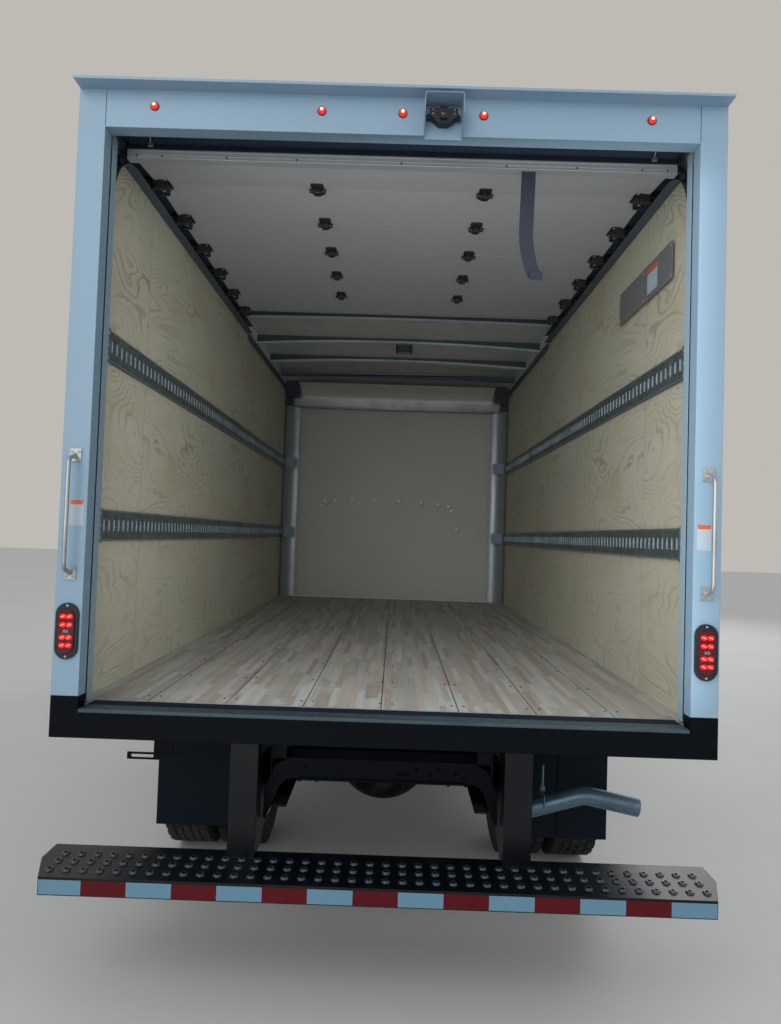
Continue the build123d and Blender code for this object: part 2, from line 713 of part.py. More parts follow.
# Rear frame: sill with black feet, posts, header with its cornice
with BuildPart() as rear_sill:
    block((-half_body, half_body), (body_rear_y, frame_front_y), (sill_z, floor_z))
    for sign in SIDES.values():
        block((sign * half_opening, sign * half_body), (body_rear_y, frame_front_y), (floor_z, post_foot_z))
keep("rear_sill", rear_sill)
header_top_z = cornice_z - cornice_thickness
with BuildPart() as rear_posts:
    for sign in SIDES.values():
        block((sign * half_opening, sign * half_body), (body_rear_y, frame_front_y - fit_gap),
              (post_foot_z, header_top_z))
keep("rear_posts", rear_posts)
with BuildPart() as rear_header:
    block((-half_opening + fit_gap, half_opening - fit_gap), (body_rear_y, frame_front_y - fit_gap),
          (opening_top_z, header_top_z))
    block((-half_body, half_body), (body_rear_y - cornice_reach, frame_front_y - fit_gap),
          (header_top_z, cornice_z))
keep("rear_header", rear_header)

# Door tracks: up behind the posts, round a bend and forward under the roof
door_half = 1100
track_y = frame_front_y + 40
track_level_z = sill_z + 2328
track_bend = 260
track_half_inside = 25
track_wall = 3
track_depth = 48
track_x = half_inside - fit_gap - track_depth / 2
with BuildPart() as door_tracks:
    for sign in SIDES.values():
        with BuildLine() as track_path:
            FilletPolyline((sign * track_x, track_y, floor_z + floor_clearance),
                           (sign * track_x, track_y, track_level_z),
                           (sign * track_x, track_end_y, track_level_z), radius=track_bend)
        with BuildSketch(Plane(origin=track_path.line @ 0, x_dir=(sign, 0, 0), z_dir=(0, 0, 1))):
            Rectangle(track_depth, 2 * (track_half_inside + track_wall))
            with Locations((-track_wall, 0)):
                Rectangle(track_depth, 2 * track_half_inside, mode=Mode.SUBTRACT)
        sweep(path=track_path.line)
keep("door_tracks", door_tracks)

# Roll-up door, open: panels in the level track, the last one tipping into the bend with the bottom rail
panel_count = 6
panel_length = 345
panel_thickness = 19
panel_seam = 4
door_under_z = track_level_z - 2
door_first_y = body_rear_y + 190
door_rail_z = sill_z + 2252
with BuildPart() as roll_up_door:
    with BuildSketch(side_plane(0)):
        hinge_y = door_first_y + panel_length - 22
        with BuildLine():
            Polyline((door_first_y, sill_z + 2290), (hinge_y, door_under_z),
                     (hinge_y, door_under_z + panel_thickness),
                     (door_first_y, sill_z + 2290 + panel_thickness), close=True)
        make_face()
        for index in range(1, panel_count):
            with Locations((hinge_y + (index - 0.5) * panel_length, door_under_z + panel_thickness / 2)):
                Rectangle(panel_length - panel_seam, panel_thickness)
            with Locations((hinge_y + (index - 1) * panel_length, door_under_z + panel_thickness - 3)):
                Rectangle(panel_seam + 4, 6)
        with Locations((door_first_y - 6, sill_z + 2281)):
            Rectangle(30, 58)
    extrude(amount=door_half, both=True)
    bend_rise = math.sqrt(track_bend**2 - (track_y + track_bend - door_first_y) ** 2)
    rollers = [(door_first_y, track_level_z - track_bend + bend_rise)]
    rollers += [(hinge_y + index * panel_length, track_level_z) for index in range(panel_count)]
    for y, z in rollers:
        for sign in SIDES.values():
            rod((sign * (door_half - 30), y, z), (sign * (track_x - 8), y, z), 5)
            rod((sign * (track_x - 20), y, z), (sign * (track_x - 6), y, z), track_half_inside - fit_gap)
keep("roll_up_door", roll_up_door)

# Pull strap, hanging from the bottom rail
strap_x = 510
strap_length = 450
with BuildPart() as pull_strap:
    block((strap_x - 25, strap_x + 25), (door_first_y - 10, door_first_y - 7),
          (door_rail_z - strap_length, door_rail_z - fit_gap))
keep("pull_strap", pull_strap)

# Cargo tracks on both linings: height of each row's centre above the sill's lower edge
TRACK_ROWS = (780, 1508)
cargo_track_height = 127
cargo_track_proud = 12
with BuildPart() as cargo_tracks:
    for sign in SIDES.values():
        for row in TRACK_ROWS:
            face = half_inside - fit_gap
            block((sign * (face - cargo_track_proud), sign * face), (body_rear_y + 210, body_corner_y - 60),
                  (sill_z + row - cargo_track_height / 2, sill_z + row + cargo_track_height / 2))
keep("cargo_tracks", cargo_tracks)

# Lamps on the rear frame, grab handles and the camera's hood
marker_z = sill_z + 2361
with BuildPart() as marker_lamps:
    for x in (-934, -304, 0, 304, 934):
        with BuildSketch(back_plane(body_rear_y - fit_gap)):
            with Locations((x, marker_z)):
                Circle(17)
        extrude(amount=4)
        with BuildSketch(back_plane(body_rear_y - 4)):
            with Locations((x, marker_z)):
                Circle(13)
        extrude(amount=11, taper=20)
keep("marker_lamps", marker_lamps)
tail_lamp_x = half_body - post_width / 2
tail_lamp_z = sill_z + 388
with BuildPart() as tail_lamps:
    for sign in SIDES.values():
        for length, width, near, far in ((206, 84, fit_gap, 9), (160, 58, 8, 15)):
            with BuildSketch(back_plane(body_rear_y - near)):
                with Locations((sign * tail_lamp_x, tail_lamp_z)):
                    SlotOverall(length, width, rotation=90)
            extrude(amount=far - near)
keep("tail_lamps", tail_lamps)
handle_reach = 55
HANDLE_Z = (sill_z + 600, sill_z + 1036)
with BuildPart() as grab_handles:
    for sign in SIDES.values():
        y = body_rear_y - fit_gap
        x = sign * tail_lamp_x
        with BuildLine() as handle_path:
            FilletPolyline((x, y - 4, HANDLE_Z[0]), (x, y - handle_reach, HANDLE_Z[0] + 20),
                           (x, y - handle_reach, HANDLE_Z[1] - 20), (x, y - 4, HANDLE_Z[1]), radius=24)
        with BuildSketch(Plane(origin=handle_path.line @ 0, z_dir=handle_path.line % 0)):
            Circle(8)
        sweep(path=handle_path.line)
        for z in HANDLE_Z:
            block((x - 22, x + 22), (y - 5, y), (z - 24, z + 24))
keep("grab_handles", grab_handles)
hood_x = 152
hood_half = 72
hood_top_z = sill_z + 2392
hood_reach = 92
hood_wall = 3
hood_corner = 12
hood_front_drop = 76
hood_back_drop = 130
back_face_y = body_rear_y - fit_gap
HOOD = [(hood_x - hood_half, hood_top_z - 2 * hood_back_drop), (hood_x - hood_half, hood_top_z),
        (hood_x + hood_half, hood_top_z), (hood_x + hood_half, hood_top_z - 2 * hood_back_drop)]
HOOD_INSIDE = [(hood_x - hood_half + hood_wall, hood_top_z - 3 * hood_back_drop),
               (hood_x - hood_half + hood_wall, hood_top_z - hood_wall),
               (hood_x + hood_half - hood_wall, hood_top_z - hood_wall),
               (hood_x + hood_half - hood_wall, hood_top_z - 3 * hood_back_drop)]
HOOD_SIDE = [(back_face_y, hood_top_z), (body_rear_y - hood_reach, hood_top_z),
             (body_rear_y - hood_reach, hood_top_z - hood_front_drop),
             (back_face_y, hood_top_z - hood_back_drop)]
CAMERA = [(hood_x - 53, sill_z + 2362), (hood_x + 53, sill_z + 2362), (hood_x + 53, sill_z + 2335),
          (hood_x + 16, sill_z + 2306), (hood_x - 16, sill_z + 2306), (hood_x - 53, sill_z + 2335)]
with BuildPart() as camera_hood:
    add(prism(back_plane(back_face_y), HOOD, hood_corner, 0, hood_reach - fit_gap))
    add(prism(back_plane(back_face_y), HOOD_INSIDE, hood_corner - hood_wall, hood_wall, hood_reach + 1),
        mode=Mode.SUBTRACT)
    add(prism(side_plane(hood_x - hood_half), HOOD_SIDE, 0, -1, 2 * hood_half + 1), mode=Mode.INTERSECT)
    add(prism(back_plane(back_face_y), CAMERA, 5, hood_wall - 1, 40))
    block((hood_x - 15, hood_x + 15), (body_rear_y - 52, body_rear_y - 30), (sill_z + 2319, sill_z + 2351))
keep("camera_hood", camera_hood)


def cab_form(inset):
    """Outer form of the cab, drawn in by an inset: side profile, front profile and plan cut each other."""
    with BuildPart() as form:
        with BuildSketch(side_plane(0)):
            with BuildLine():
                Polyline((cab_back_y + 90, cab_roof_z - 8), (cab_back_y, cab_roof_z - 110),
                         (cab_back_y, cab_floor_z - cab_wall), (arch_front_y, cab_floor_z - cab_wall),
                         (arch_front_y, cab_bottom_z), (cab_face_y, cab_bottom_z), (cab_face_y - 12, belt_z),
                         (cab_face_y - 290, cab_roof_z - 120), (cab_face_y - 430, cab_roof_z - 12),
                         (cab_face_y - 900, cab_roof_z), close=True)
            make_face()
            if inset:
                offset(amount=-inset, kind=Kind.INTERSECTION)
        extrude(amount=half_cab, both=True)
        with BuildSketch(back_plane(front_y)):
            with BuildLine():
                for sign in SIDES.values():
                    shoulder = (sign * (half_cab - cab_lean), cab_roof_z - 110)
                    Polyline((0, 0), (sign * half_cab, 0), (sign * half_cab, belt_z), shoulder)
                    ThreePointArc(shoulder, (sign * (half_cab - cab_lean - 30), cab_roof_z - 30),
                                  (sign * (half_cab - cab_lean - 130), cab_roof_z))
                    Line((sign * (half_cab - cab_lean - 130), cab_roof_z), (0, cab_roof_z))
            make_face()
            if inset:
                offset(amount=-inset)
        extrude(amount=cab_length + 200, mode=Mode.INTERSECT)
        with BuildSketch(Plane.XY):
            with Locations((0, (cab_back_y + cab_face_y) / 2)):
                Rectangle(cab_width, cab_face_y - cab_back_y)
            fillet(vertices().group_by(Axis.Y)[-1], 120)
            fillet(vertices().group_by(Axis.Y)[0], 60)
            if inset:
                offset(amount=-inset)
        extrude(amount=cab_roof_z + 100, mode=Mode.INTERSECT)
    return form.part


# Outlines of the doors and windows, seen from the side or from behind
door_front_y = cab_face_y - 130
door_rear_y = front_axle_y - 25
DOOR = [(door_front_y, 745), (arch_front_y + 75, 745), (arch_front_y - 60, 960), (door_rear_y, 960),
        (door_rear_y, cab_split_z - 50), (door_front_y - 245, cab_split_z - 50), (door_front_y, belt_z)]
DOOR_SHUT = [(door_front_y - shut_gap, 745 + shut_gap), (arch_front_y + 75 + shut_gap * 0.6, 745 + shut_gap),
             (arch_front_y - 60 + shut_gap * 0.6, 960 + shut_gap), (door_rear_y + shut_gap, 960 + shut_gap),
             (door_rear_y + shut_gap, cab_split_z - 50 - shut_gap),
             (door_front_y - 245 - shut_gap * 0.6, cab_split_z - 50 - shut_gap),
             (door_front_y - shut_gap, belt_z - shut_gap * 0.4)]
DOOR_WINDOW = [(door_front_y - 95, belt_z + 30), (door_rear_y + 85, belt_z + 30),
               (door_rear_y + 85, cab_split_z - 130), (door_front_y - 285, cab_split_z - 130)]
WINDSCREEN = [(-half_cab + 130, belt_z + 40), (half_cab - 130, belt_z + 40),
              (half_cab - 175, cab_split_z - 60), (-half_cab + 175, cab_split_z - 60)]
BACK_WINDOW = [(-420, 1500), (420, 1500), (420, 1900), (-420, 1900)]
grille_half = half_cab - 440
GRILLE = [(-grille_half, 780), (grille_half, 780), (grille_half, 950), (-grille_half, 950)]
HEADLAMP = [(half_cab - 360, 745), (half_cab - 70, 745), (half_cab - 70, 925), (half_cab - 360, 925)]
FRONT_REGION = [(cab_face_y - 85, 600), (cab_face_y - 85, belt_z), (cab_face_y - 370, cab_split_z),
                (cab_face_y + 100, cab_split_z), (cab_face_y + 100, 600)]
cab_outer, cab_inner, glass_outer, glass_inner = (
    cab_form(value) for value in (0, cab_wall, glass_inset, glass_inset + glass_thickness))
tunnel_wall = 25
# Hollows under the cab for the engine and for the rails: half width, front end, top, wall over it
TUNNELS = [(tunnel_half, tunnel_front_y, tunnel_top_z, tunnel_wall),
           (rail_spacing / 2 + 15, cab_face_y - cab_wall, rail_top_z + 22, tunnel_wall)]
with BuildPart() as cab_room:
    add(cab_inner)
    for half, y_end, top, wall in TUNNELS:
        block((-half - wall, half + wall), (0, y_end + wall), (0, top + wall), mode=Mode.SUBTRACT)
with BuildPart() as cab_shell:
    add(cab_outer)
    for half, y_end, top, _ in TUNNELS:
        block((-half, half), (cab_back_y, y_end), (0, top), mode=Mode.SUBTRACT)
    add(cab_room.part, mode=Mode.SUBTRACT)
with BuildPart() as glass_shell:
    add(glass_outer)
    add(glass_inner, mode=Mode.SUBTRACT)
front_region = prism(side_plane(0), FRONT_REGION, 0, -half_cab, half_cab)
back_region_y = cab_back_y + cab_wall + 15
windscreen_hole = prism(back_plane(0), WINDSCREEN, 60, -front_y, -front_y + 700)
back_window_hole = prism(back_plane(0), BACK_WINDOW, 60, -cab_back_y - 200, -cab_back_y + 100)
door_inner_x = half_cab - cab_wall
# Door hinges: barrels on a vertical line in the gap at the door's front edge
hinge_x = half_cab + 2
door_hinge_y = door_front_y - shut_gap / 2
hinge_radius = 9
hinge_height = 30
HINGE_Z = (1020, 1300)
with BuildPart() as door_hole:
    add(prism(side_plane(0), DOOR, 30, side_cut_x, half_cab + 50))
    block((0, door_inner_x - shut_gap), (cab_back_y, front_y), (0, belt_z - 60), mode=Mode.SUBTRACT)
with BuildPart() as door_body:
    add(prism(side_plane(0), DOOR_SHUT, 26, side_cut_x, half_cab + 50))
    block((0, door_inner_x), (cab_back_y, front_y), (0, belt_z - 60), mode=Mode.SUBTRACT)
door_window_hole = prism(side_plane(0), DOOR_WINDOW, 40, side_cut_x, half_cab + 50)
grille_hole = prism(back_plane(0), GRILLE, 20, -front_y, -front_y + 200)
headlamp_hole = prism(back_plane(0), HEADLAMP, 30, -front_y, -front_y + 200)

# Cab front: panel below the windscreen with the pillars beside it, and the lugs that hinge the cab
with BuildPart() as cab_front:
    add(cab_shell.part)
    add(front_region, mode=Mode.INTERSECT)
    add([windscreen_hole, grille_hole, headlamp_hole], mode=Mode.SUBTRACT)
    add(mirror(headlamp_hole, about=Plane.YZ, mode=Mode.PRIVATE), mode=Mode.SUBTRACT)
    for sign in SIDES.values():
        near = sign * (rail_spacing / 2 + 5)
        far = near + sign * cab_lug_width
        block((near, far), (cab_pivot_y - 22, cab_pivot_y + 22), (cab_pivot_z, cab_bottom_z + 5))
        rod((near, cab_pivot_y, cab_pivot_z), (far, cab_pivot_y, cab_pivot_z), 28)
        rod((near, cab_pivot_y, cab_pivot_z), (far, cab_pivot_y, cab_pivot_z), cab_pin_radius + fit_gap,
            mode=Mode.SUBTRACT)
keep("cab_front", cab_front)
with BuildPart() as cab_roof:
    add(cab_shell.part)
    block((-half_cab, half_cab), (cab_back_y, cab_face_y), (0, cab_split_z), mode=Mode.SUBTRACT)
keep("cab_roof", cab_roof)
with BuildPart() as cab_back:
    add(cab_shell.part)
    block((-half_cab, half_cab), (cab_back_y, back_region_y), (0, cab_split_z), mode=Mode.INTERSECT)
    add(back_window_hole, mode=Mode.SUBTRACT)
keep("cab_back", cab_back)
with BuildPart() as cab_middle:
    add(cab_shell.part)
    block((-half_cab, half_cab), (back_region_y, front_y), (0, cab_split_z), mode=Mode.INTERSECT)
    add(front_region, mode=Mode.SUBTRACT)
with BuildPart() as cab_sides:
    add(cab_middle.part)
    block((-side_cut_x, side_cut_x), (cab_back_y, front_y), (0, cab_roof_z), mode=Mode.SUBTRACT)
    add([door_hole.part, mirror(door_hole.part, about=Plane.YZ, mode=Mode.PRIVATE)], mode=Mode.SUBTRACT)
    for z in HINGE_Z:
        with Locations((hinge_x, door_hinge_y, z), (-hinge_x, door_hinge_y, z)):
            Cylinder(hinge_radius + 5, 2 * hinge_height + 10, mode=Mode.SUBTRACT)
            with Locations((0, 0, -hinge_height / 2 - fit_gap)):
                Cylinder(hinge_radius, hinge_height)
        for sign in SIDES.values():
            block((sign * (hinge_x - 30), sign * (hinge_x - 2)), (door_hinge_y, door_hinge_y + 20),
                  (z - hinge_height - fit_gap, z - fit_gap))
keep("cab_sides", cab_sides)
with BuildPart() as cab_floor:
    add(cab_middle.part)
    block((-side_cut_x, side_cut_x), (cab_back_y, front_y), (0, cab_split_z), mode=Mode.INTERSECT)
keep("cab_floor", cab_floor)
with BuildPart() as cab_door_right:
    add(cab_middle.part)
    add(door_body.part, mode=Mode.INTERSECT)
    add(door_window_hole, mode=Mode.SUBTRACT)
    for z in HINGE_Z:
        with Locations((hinge_x, door_hinge_y, z)):
            Cylinder(hinge_radius + 5, 2 * hinge_height + 10, mode=Mode.SUBTRACT)
            with Locations((0, 0, hinge_height / 2)):
                Cylinder(hinge_radius, hinge_height)
        block((hinge_x - 30, hinge_x - 2), (door_hinge_y - 20, door_hinge_y), (z, z + hinge_height))
keep("cab_door_right", cab_door_right)
mirrored("cab_door_left", cab_door_right)

# Glass, following the cab's form
with BuildPart() as door_glass_right:
    add(glass_shell.part)
    add(door_window_hole, mode=Mode.INTERSECT)
keep("door_glass_right", door_glass_right)
mirrored("door_glass_left", door_glass_right)
with BuildPart() as windscreen:
    add(glass_shell.part)
    add(windscreen_hole, mode=Mode.INTERSECT)
with BuildPart() as back_window:
    add(glass_shell.part)
    add(back_window_hole, mode=Mode.INTERSECT)
with BuildPart() as cab_glass:
    add([windscreen.part, back_window.part])
keep("cab_glass", cab_glass)

# Grille and headlamps, flush in the front panel
with BuildPart() as grille:
    add(cab_shell.part)
    add(front_region, mode=Mode.INTERSECT)
    add(grille_hole, mode=Mode.INTERSECT)
    for z in range(800, 940, 28):
        block((-grille_half + 20, grille_half - 20), (cab_face_y - 200, cab_face_y + 50), (z, z + 16),
              mode=Mode.SUBTRACT)
keep("grille", grille)
with BuildPart() as headlamps:
    add(cab_outer)
    add(headlamp_hole, mode=Mode.INTERSECT)
    block((0, half_cab), (cab_face_y - 400, cab_face_y - 60), (0, 2000), mode=Mode.SUBTRACT)
    mirror(about=Plane.YZ)
keep("headlamps", headlamps)

# Cab furniture: two seats, dashboard with the steering column, steering wheel
seat_x = (half_cab - 570, half_cab - 100)
seat_front_y = front_axle_y + 300
seat_z = 1150
with BuildPart() as seats:
    for sign in SIDES.values():
        xs = (sign * seat_x[0], sign * seat_x[1])
        block(xs, (seat_front_y - 520, seat_front_y - 20), (cab_floor_z + fit_gap, seat_z))
        block(xs, (seat_front_y - 540, seat_front_y), (seat_z, seat_z + 130))
        block(xs, (seat_front_y - 660, seat_front_y - 530), (seat_z, seat_z + 680))
keep("seats", seats)
wheel_x = -(seat_x[0] + seat_x[1]) / 2
wheel_y = seat_front_y + 240
wheel_z = 1340
column_lean = 30
column_dir = (0, math.sin(math.radians(column_lean)), -math.cos(math.radians(column_lean)))
column_top = Vector(wheel_x, wheel_y, wheel_z) + Vector(*column_dir) * 40
column_foot = column_top + Vector(*column_dir) * ((column_top.Z - cab_bottom_z) / -column_dir[2])
dash_rear_y = cab_face_y - 300
with BuildPart() as dashboard:
    with BuildSketch(side_plane(0)):
        with BuildLine():
            Polyline((cab_face_y, 1130), (dash_rear_y + 40, 1130), (dash_rear_y, 1200),
                     (dash_rear_y + 30, belt_z), (cab_face_y, belt_z + 15), close=True)
        make_face()
    extrude(amount=half_cab - cab_wall - 20, both=True)
    rod(column_top, column_foot, 32)
    block((wheel_x - 40, wheel_x + 40), (column_top.Y + 20, dash_rear_y + 30), (1200, 1260))
    add(cab_form(cab_wall + fit_gap), mode=Mode.INTERSECT)
keep("dashboard", dashboard)
wheel_tilt = Plane(origin=(wheel_x, wheel_y, wheel_z), z_dir=column_dir)
with BuildPart() as steering_wheel:
    with Locations(wheel_tilt):
        Torus(215, 15)
        Cylinder(48, 40)
    for turn in (0, 120, 240):
        spoke = wheel_tilt.from_local_coords(Vector(208, 0, 0).rotate(Axis.Z, turn + 90))
        rod(Vector(wheel_x, wheel_y, wheel_z), spoke, 11)
    rod(Vector(wheel_x, wheel_y, wheel_z), column_top - Vector(*column_dir) * fit_gap, 20)
keep("steering_wheel", steering_wheel)

# Mirrors on tube arms at the cab's front corners, and the steps below the doors
mirror_y = cab_face_y - 60
MIRROR_X = (half_cab + 130, half_cab + 300)
with BuildPart() as mirrors:
    for z in (1300, 1760):
        rod((half_cab - 100, mirror_y, z), (MIRROR_X[0] + 60, mirror_y, z), 11)
    rod((MIRROR_X[0] + 60, mirror_y, 1290), (MIRROR_X[0] + 60, mirror_y, 1770), 11)
    add(cab_outer, mode=Mode.SUBTRACT)
    block(MIRROR_X, (mirror_y - 35, mirror_y + 40), (1340, 1720))
    mirror(about=Plane.YZ)
keep("mirrors", mirrors)
with BuildPart() as cab_steps:
    block((half_cab - 360, half_cab - 12), (arch_front_y + 15, cab_face_y - 90),
          (440, cab_bottom_z - fit_gap))
    block((half_cab - 300, half_cab + 10), (arch_front_y + 50, cab_face_y - 125), (480, cab_bottom_z - 30),
          mode=Mode.SUBTRACT)
    mirror(about=Plane.YZ)
keep("cab_steps", cab_steps)

os.makedirs("parts", exist_ok=True)
for name, piece in pieces.items():
    export_step(piece, f"parts/{name}.step")
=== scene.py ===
"""Looks of the box truck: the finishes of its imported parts, and the small parts that sit on them.

Metres. +Y points forward, +X to the truck's right, +Z up. Sizes written in millimetres go through
the MM factor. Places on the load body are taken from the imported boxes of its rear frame.
"""
from __future__ import annotations

import json
import logging
import math
from collections.abc import Callable, Iterable
from dataclasses import dataclass, field
from enum import Enum

import bmesh
import bpy
from mathutils import Matrix, Vector

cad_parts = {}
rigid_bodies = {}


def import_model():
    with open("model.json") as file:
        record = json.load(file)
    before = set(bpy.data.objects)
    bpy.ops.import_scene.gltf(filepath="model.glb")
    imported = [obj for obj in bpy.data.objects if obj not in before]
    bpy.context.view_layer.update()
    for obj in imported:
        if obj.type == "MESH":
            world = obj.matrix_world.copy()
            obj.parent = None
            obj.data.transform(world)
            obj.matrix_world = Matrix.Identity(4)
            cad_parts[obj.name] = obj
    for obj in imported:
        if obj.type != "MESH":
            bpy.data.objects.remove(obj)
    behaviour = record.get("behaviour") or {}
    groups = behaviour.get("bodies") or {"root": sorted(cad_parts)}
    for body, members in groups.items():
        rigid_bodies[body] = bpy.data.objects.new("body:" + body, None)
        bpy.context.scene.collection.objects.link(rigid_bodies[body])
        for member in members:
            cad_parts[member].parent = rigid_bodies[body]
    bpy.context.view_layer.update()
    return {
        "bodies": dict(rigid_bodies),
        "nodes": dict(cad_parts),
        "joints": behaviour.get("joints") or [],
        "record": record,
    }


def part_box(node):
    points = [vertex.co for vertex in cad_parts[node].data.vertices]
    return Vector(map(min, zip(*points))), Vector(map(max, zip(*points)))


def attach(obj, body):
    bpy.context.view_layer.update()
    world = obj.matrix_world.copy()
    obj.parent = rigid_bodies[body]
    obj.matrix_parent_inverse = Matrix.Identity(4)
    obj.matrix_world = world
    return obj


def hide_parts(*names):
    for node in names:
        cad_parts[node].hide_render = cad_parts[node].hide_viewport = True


MM = 0.001
FAR = 9.0
SIDES = (-1, 1)
AXLE_Z = 0.4
FRONT_AXLE = 2.370
REAR_AXLE = -2.100
FLIP = Matrix.Scale(-1, 4, (1, 0, 0))
LOG = logging.getLogger("box_truck")
Triple = tuple[float, float, float]
Colour = tuple[float, float, float, float]
Test = Callable[[Vector, Vector], bool]


def ink(red: int, green: int, blue: int) -> Colour:
    """Scene-linear colour of an sRGB triple."""
    def linear(value: int) -> float:
        share = value / 255
        return share / 12.92 if share <= 0.04045 else ((share + 0.055) / 1.055) ** 2.4
    return linear(red), linear(green), linear(blue), 1.0


def shaded(colour: Colour, factor: float) -> Colour:
    """The colour with its light scaled."""
    return tuple(part * factor for part in colour[:3]) + (1.0,)


class Wire:
    """A node's output that takes part in arithmetic; each operator adds its Math node."""

    def __init__(self, recipe: Recipe, socket: bpy.types.NodeSocket) -> None:
        """Keep the node tree and the output."""
        self.recipe = recipe
        self.socket = socket

    def math(self, operation: str, *values: Wire | float) -> Wire:
        """Result of a Math node on the values, in their order."""
        return self.recipe.node("Math", {"operation": operation}, dict(enumerate(values)))

    def __add__(self, other: Wire | float) -> Wire:
        """Sum."""
        return self.math("ADD", self, other)

    def __sub__(self, other: Wire | float) -> Wire:
        """Difference."""
        return self.math("SUBTRACT", self, other)

    def __rsub__(self, other: float) -> Wire:
        """Difference from a number."""
        return self.math("SUBTRACT", other, self)

    def __mul__(self, other: Wire | float) -> Wire:
        """Product."""
        return self.math("MULTIPLY", self, other)

    def __truediv__(self, other: Wire | float) -> Wire:
        """Quotient."""
        return self.math("DIVIDE", self, other)

    __radd__ = __add__
    __rmul__ = __mul__

    def above(self, edge: Wire | float) -> Wire:
        """1 where the value is over an edge, else 0."""
        return self.math("GREATER_THAN", self, edge)

    def below(self, edge: Wire | float) -> Wire:
        """1 where the value is under an edge, else 0."""
        return self.math("LESS_THAN", self, edge)

    def floor(self) -> Wire:
        """Whole part."""
        return self.math("FLOOR", self)

    def fraction(self) -> Wire:
        """Part after the point."""
        return self.math("FRACT", self)

    def size(self) -> Wire:
        """Value without its sign."""
        return self.math("ABSOLUTE", self)

    def clipped(self) -> Wire:
        """Value held between 0 and 1."""
        return self.recipe.node("Clamp", {}, {"Value": self})


class Recipe:
    """The node tree of one material."""

    def __init__(self, name: str) -> None:
        """Start an empty tree."""
        self.material = bpy.data.materials.new(name)
        self.material.use_nodes = True
        self.tree = self.material.node_tree
        self.tree.nodes.clear()

    def node(self, kind: str, settings: dict | None = None, sockets: dict | None = None,
             out: int | str | None = 0) -> Wire | None:
        """Add a node.

        Args:
            kind: the node's type after "ShaderNode".
            settings: its properties, set first; "stops" are a colour ramp's places and colours.
            sockets: a value or a wire for each input.
            out: the output to give back, or None for a node that has none.

        Returns:
            The wire of that output.
        """
        made = self.tree.nodes.new(f"ShaderNode{kind}")
        for key, value in (settings or {}).items():
            if key == "stops":
                ends = made.color_ramp.elements
                (ends[0].position, ends[0].color), (ends[1].position,
                                                    ends[1].color) = value[0], value[-1]
                for place, colour in value[1:-1]:
                    ends.new(place).color = colour
            else:
                setattr(made, key, value)
        for key, value in (sockets or {}).items():
            if isinstance(value, Wire):
                self.tree.links.new(value.socket, made.inputs[key])
            else:
                made.inputs[key].default_value = value
        return None if out is None else Wire(self, made.outputs[out])

    def place(self) -> Wire:
        """Object coordinates, which are the truck's own."""
        return self.node("TexCoord", out="Object")

    def axes(self, vector: Wire) -> list[Wire]:
        """The three parts of a vector."""
        split = self.node("SeparateXYZ", {}, {0: vector})
        return [Wire(self, split.socket.node.outputs[index]) for index in range(3)]

    def vector(self, x: Wire | float, y: Wire | float, z: Wire | float = 0.0) -> Wire:
        """A vector from its parts."""
        return self.node("CombineXYZ", {}, {0: x, 1: y, 2: z})

    def spot(self) -> list[Wire]:
        """The three Object coordinates."""
        return self.axes(self.place())

    def stretched(self, scales: Triple) -> Wire:
        """Object coordinates stretched along the axes."""
        return self.node("Mapping", {}, {"Vector": self.place(), "Scale": scales})

    def noise(self, scale: float, detail: float = 3.0, vector: Wire | None = None,
              **more: float) -> Wire:
        """Fractal noise between 0 and 1."""
        extra = {key.capitalize(): value for key, value in more.items()}
        return self.node("TexNoise", {}, {"Vector": vector or self.place(), "Scale": scale,
                                          "Detail": detail, **extra})

    def cells(self, scale: float, vector: Wire | None = None, out: int | str = 0) -> Wire:
        """Distance to the nearest cell's middle, or the cell's own colour."""
        return self.node("TexVoronoi", {}, {"Vector": vector or self.place(), "Scale": scale}, out)

    def blended(self, share: Wire | float, first: Wire | Colour, second: Wire | Colour) -> Wire:
        """Colour between two colours."""
        return self.node("Mix", {"data_type": "RGBA"}, {"Factor": share, 6: first, 7: second},
                         out=2)

    def ramp(self, share: Wire, *stops: tuple[float, Colour]) -> Wire:
        """Colour from a ramp."""
        return self.node("ValToRGB", {"stops": stops}, {"Fac": share})

    def span(self, value: Wire, low: float, high: float) -> Wire:
        """Smooth step from 0 at the low value to 1 at the high one."""
        return self.node("MapRange", {"interpolation_type": "SMOOTHSTEP"},
                         {"Value": value, "From Min": low, "From Max": high})

    def relief(self, height: Wire, depth: float, strength: float = 1.0,
               radius: float = 0.0) -> Wire:
        """Normal of a bumpy surface, with its sharp edges rounded where a radius is given."""
        sockets = {"Height": height, "Distance": depth, "Strength": strength}
        if radius:
            sockets["Normal"] = self.node("Bevel", {"samples": 4}, {"Radius": radius})
        return self.node("Bump", {}, sockets)


@dataclass(frozen=True)
class Finish:
    """A finish that is made once and shared by all that wears it."""

    label: str

    def surface(self, recipe: Recipe) -> dict:
        """Sockets of the surface shader."""
        raise NotImplementedError

    def material(self) -> bpy.types.Material:
        """The finish's material, made at its first use."""
        ready = bpy.data.materials.get(self.label)
        if ready:
            return ready
        recipe = Recipe(self.label)
        recipe.node("OutputMaterial", {}, {"Surface": self.shader(recipe)}, out=None)
        return recipe.material

    def shader(self, recipe: Recipe) -> Wire:
        """The surface shader with its sockets."""
        return recipe.node("BsdfPrincipled", {}, self.surface(recipe))


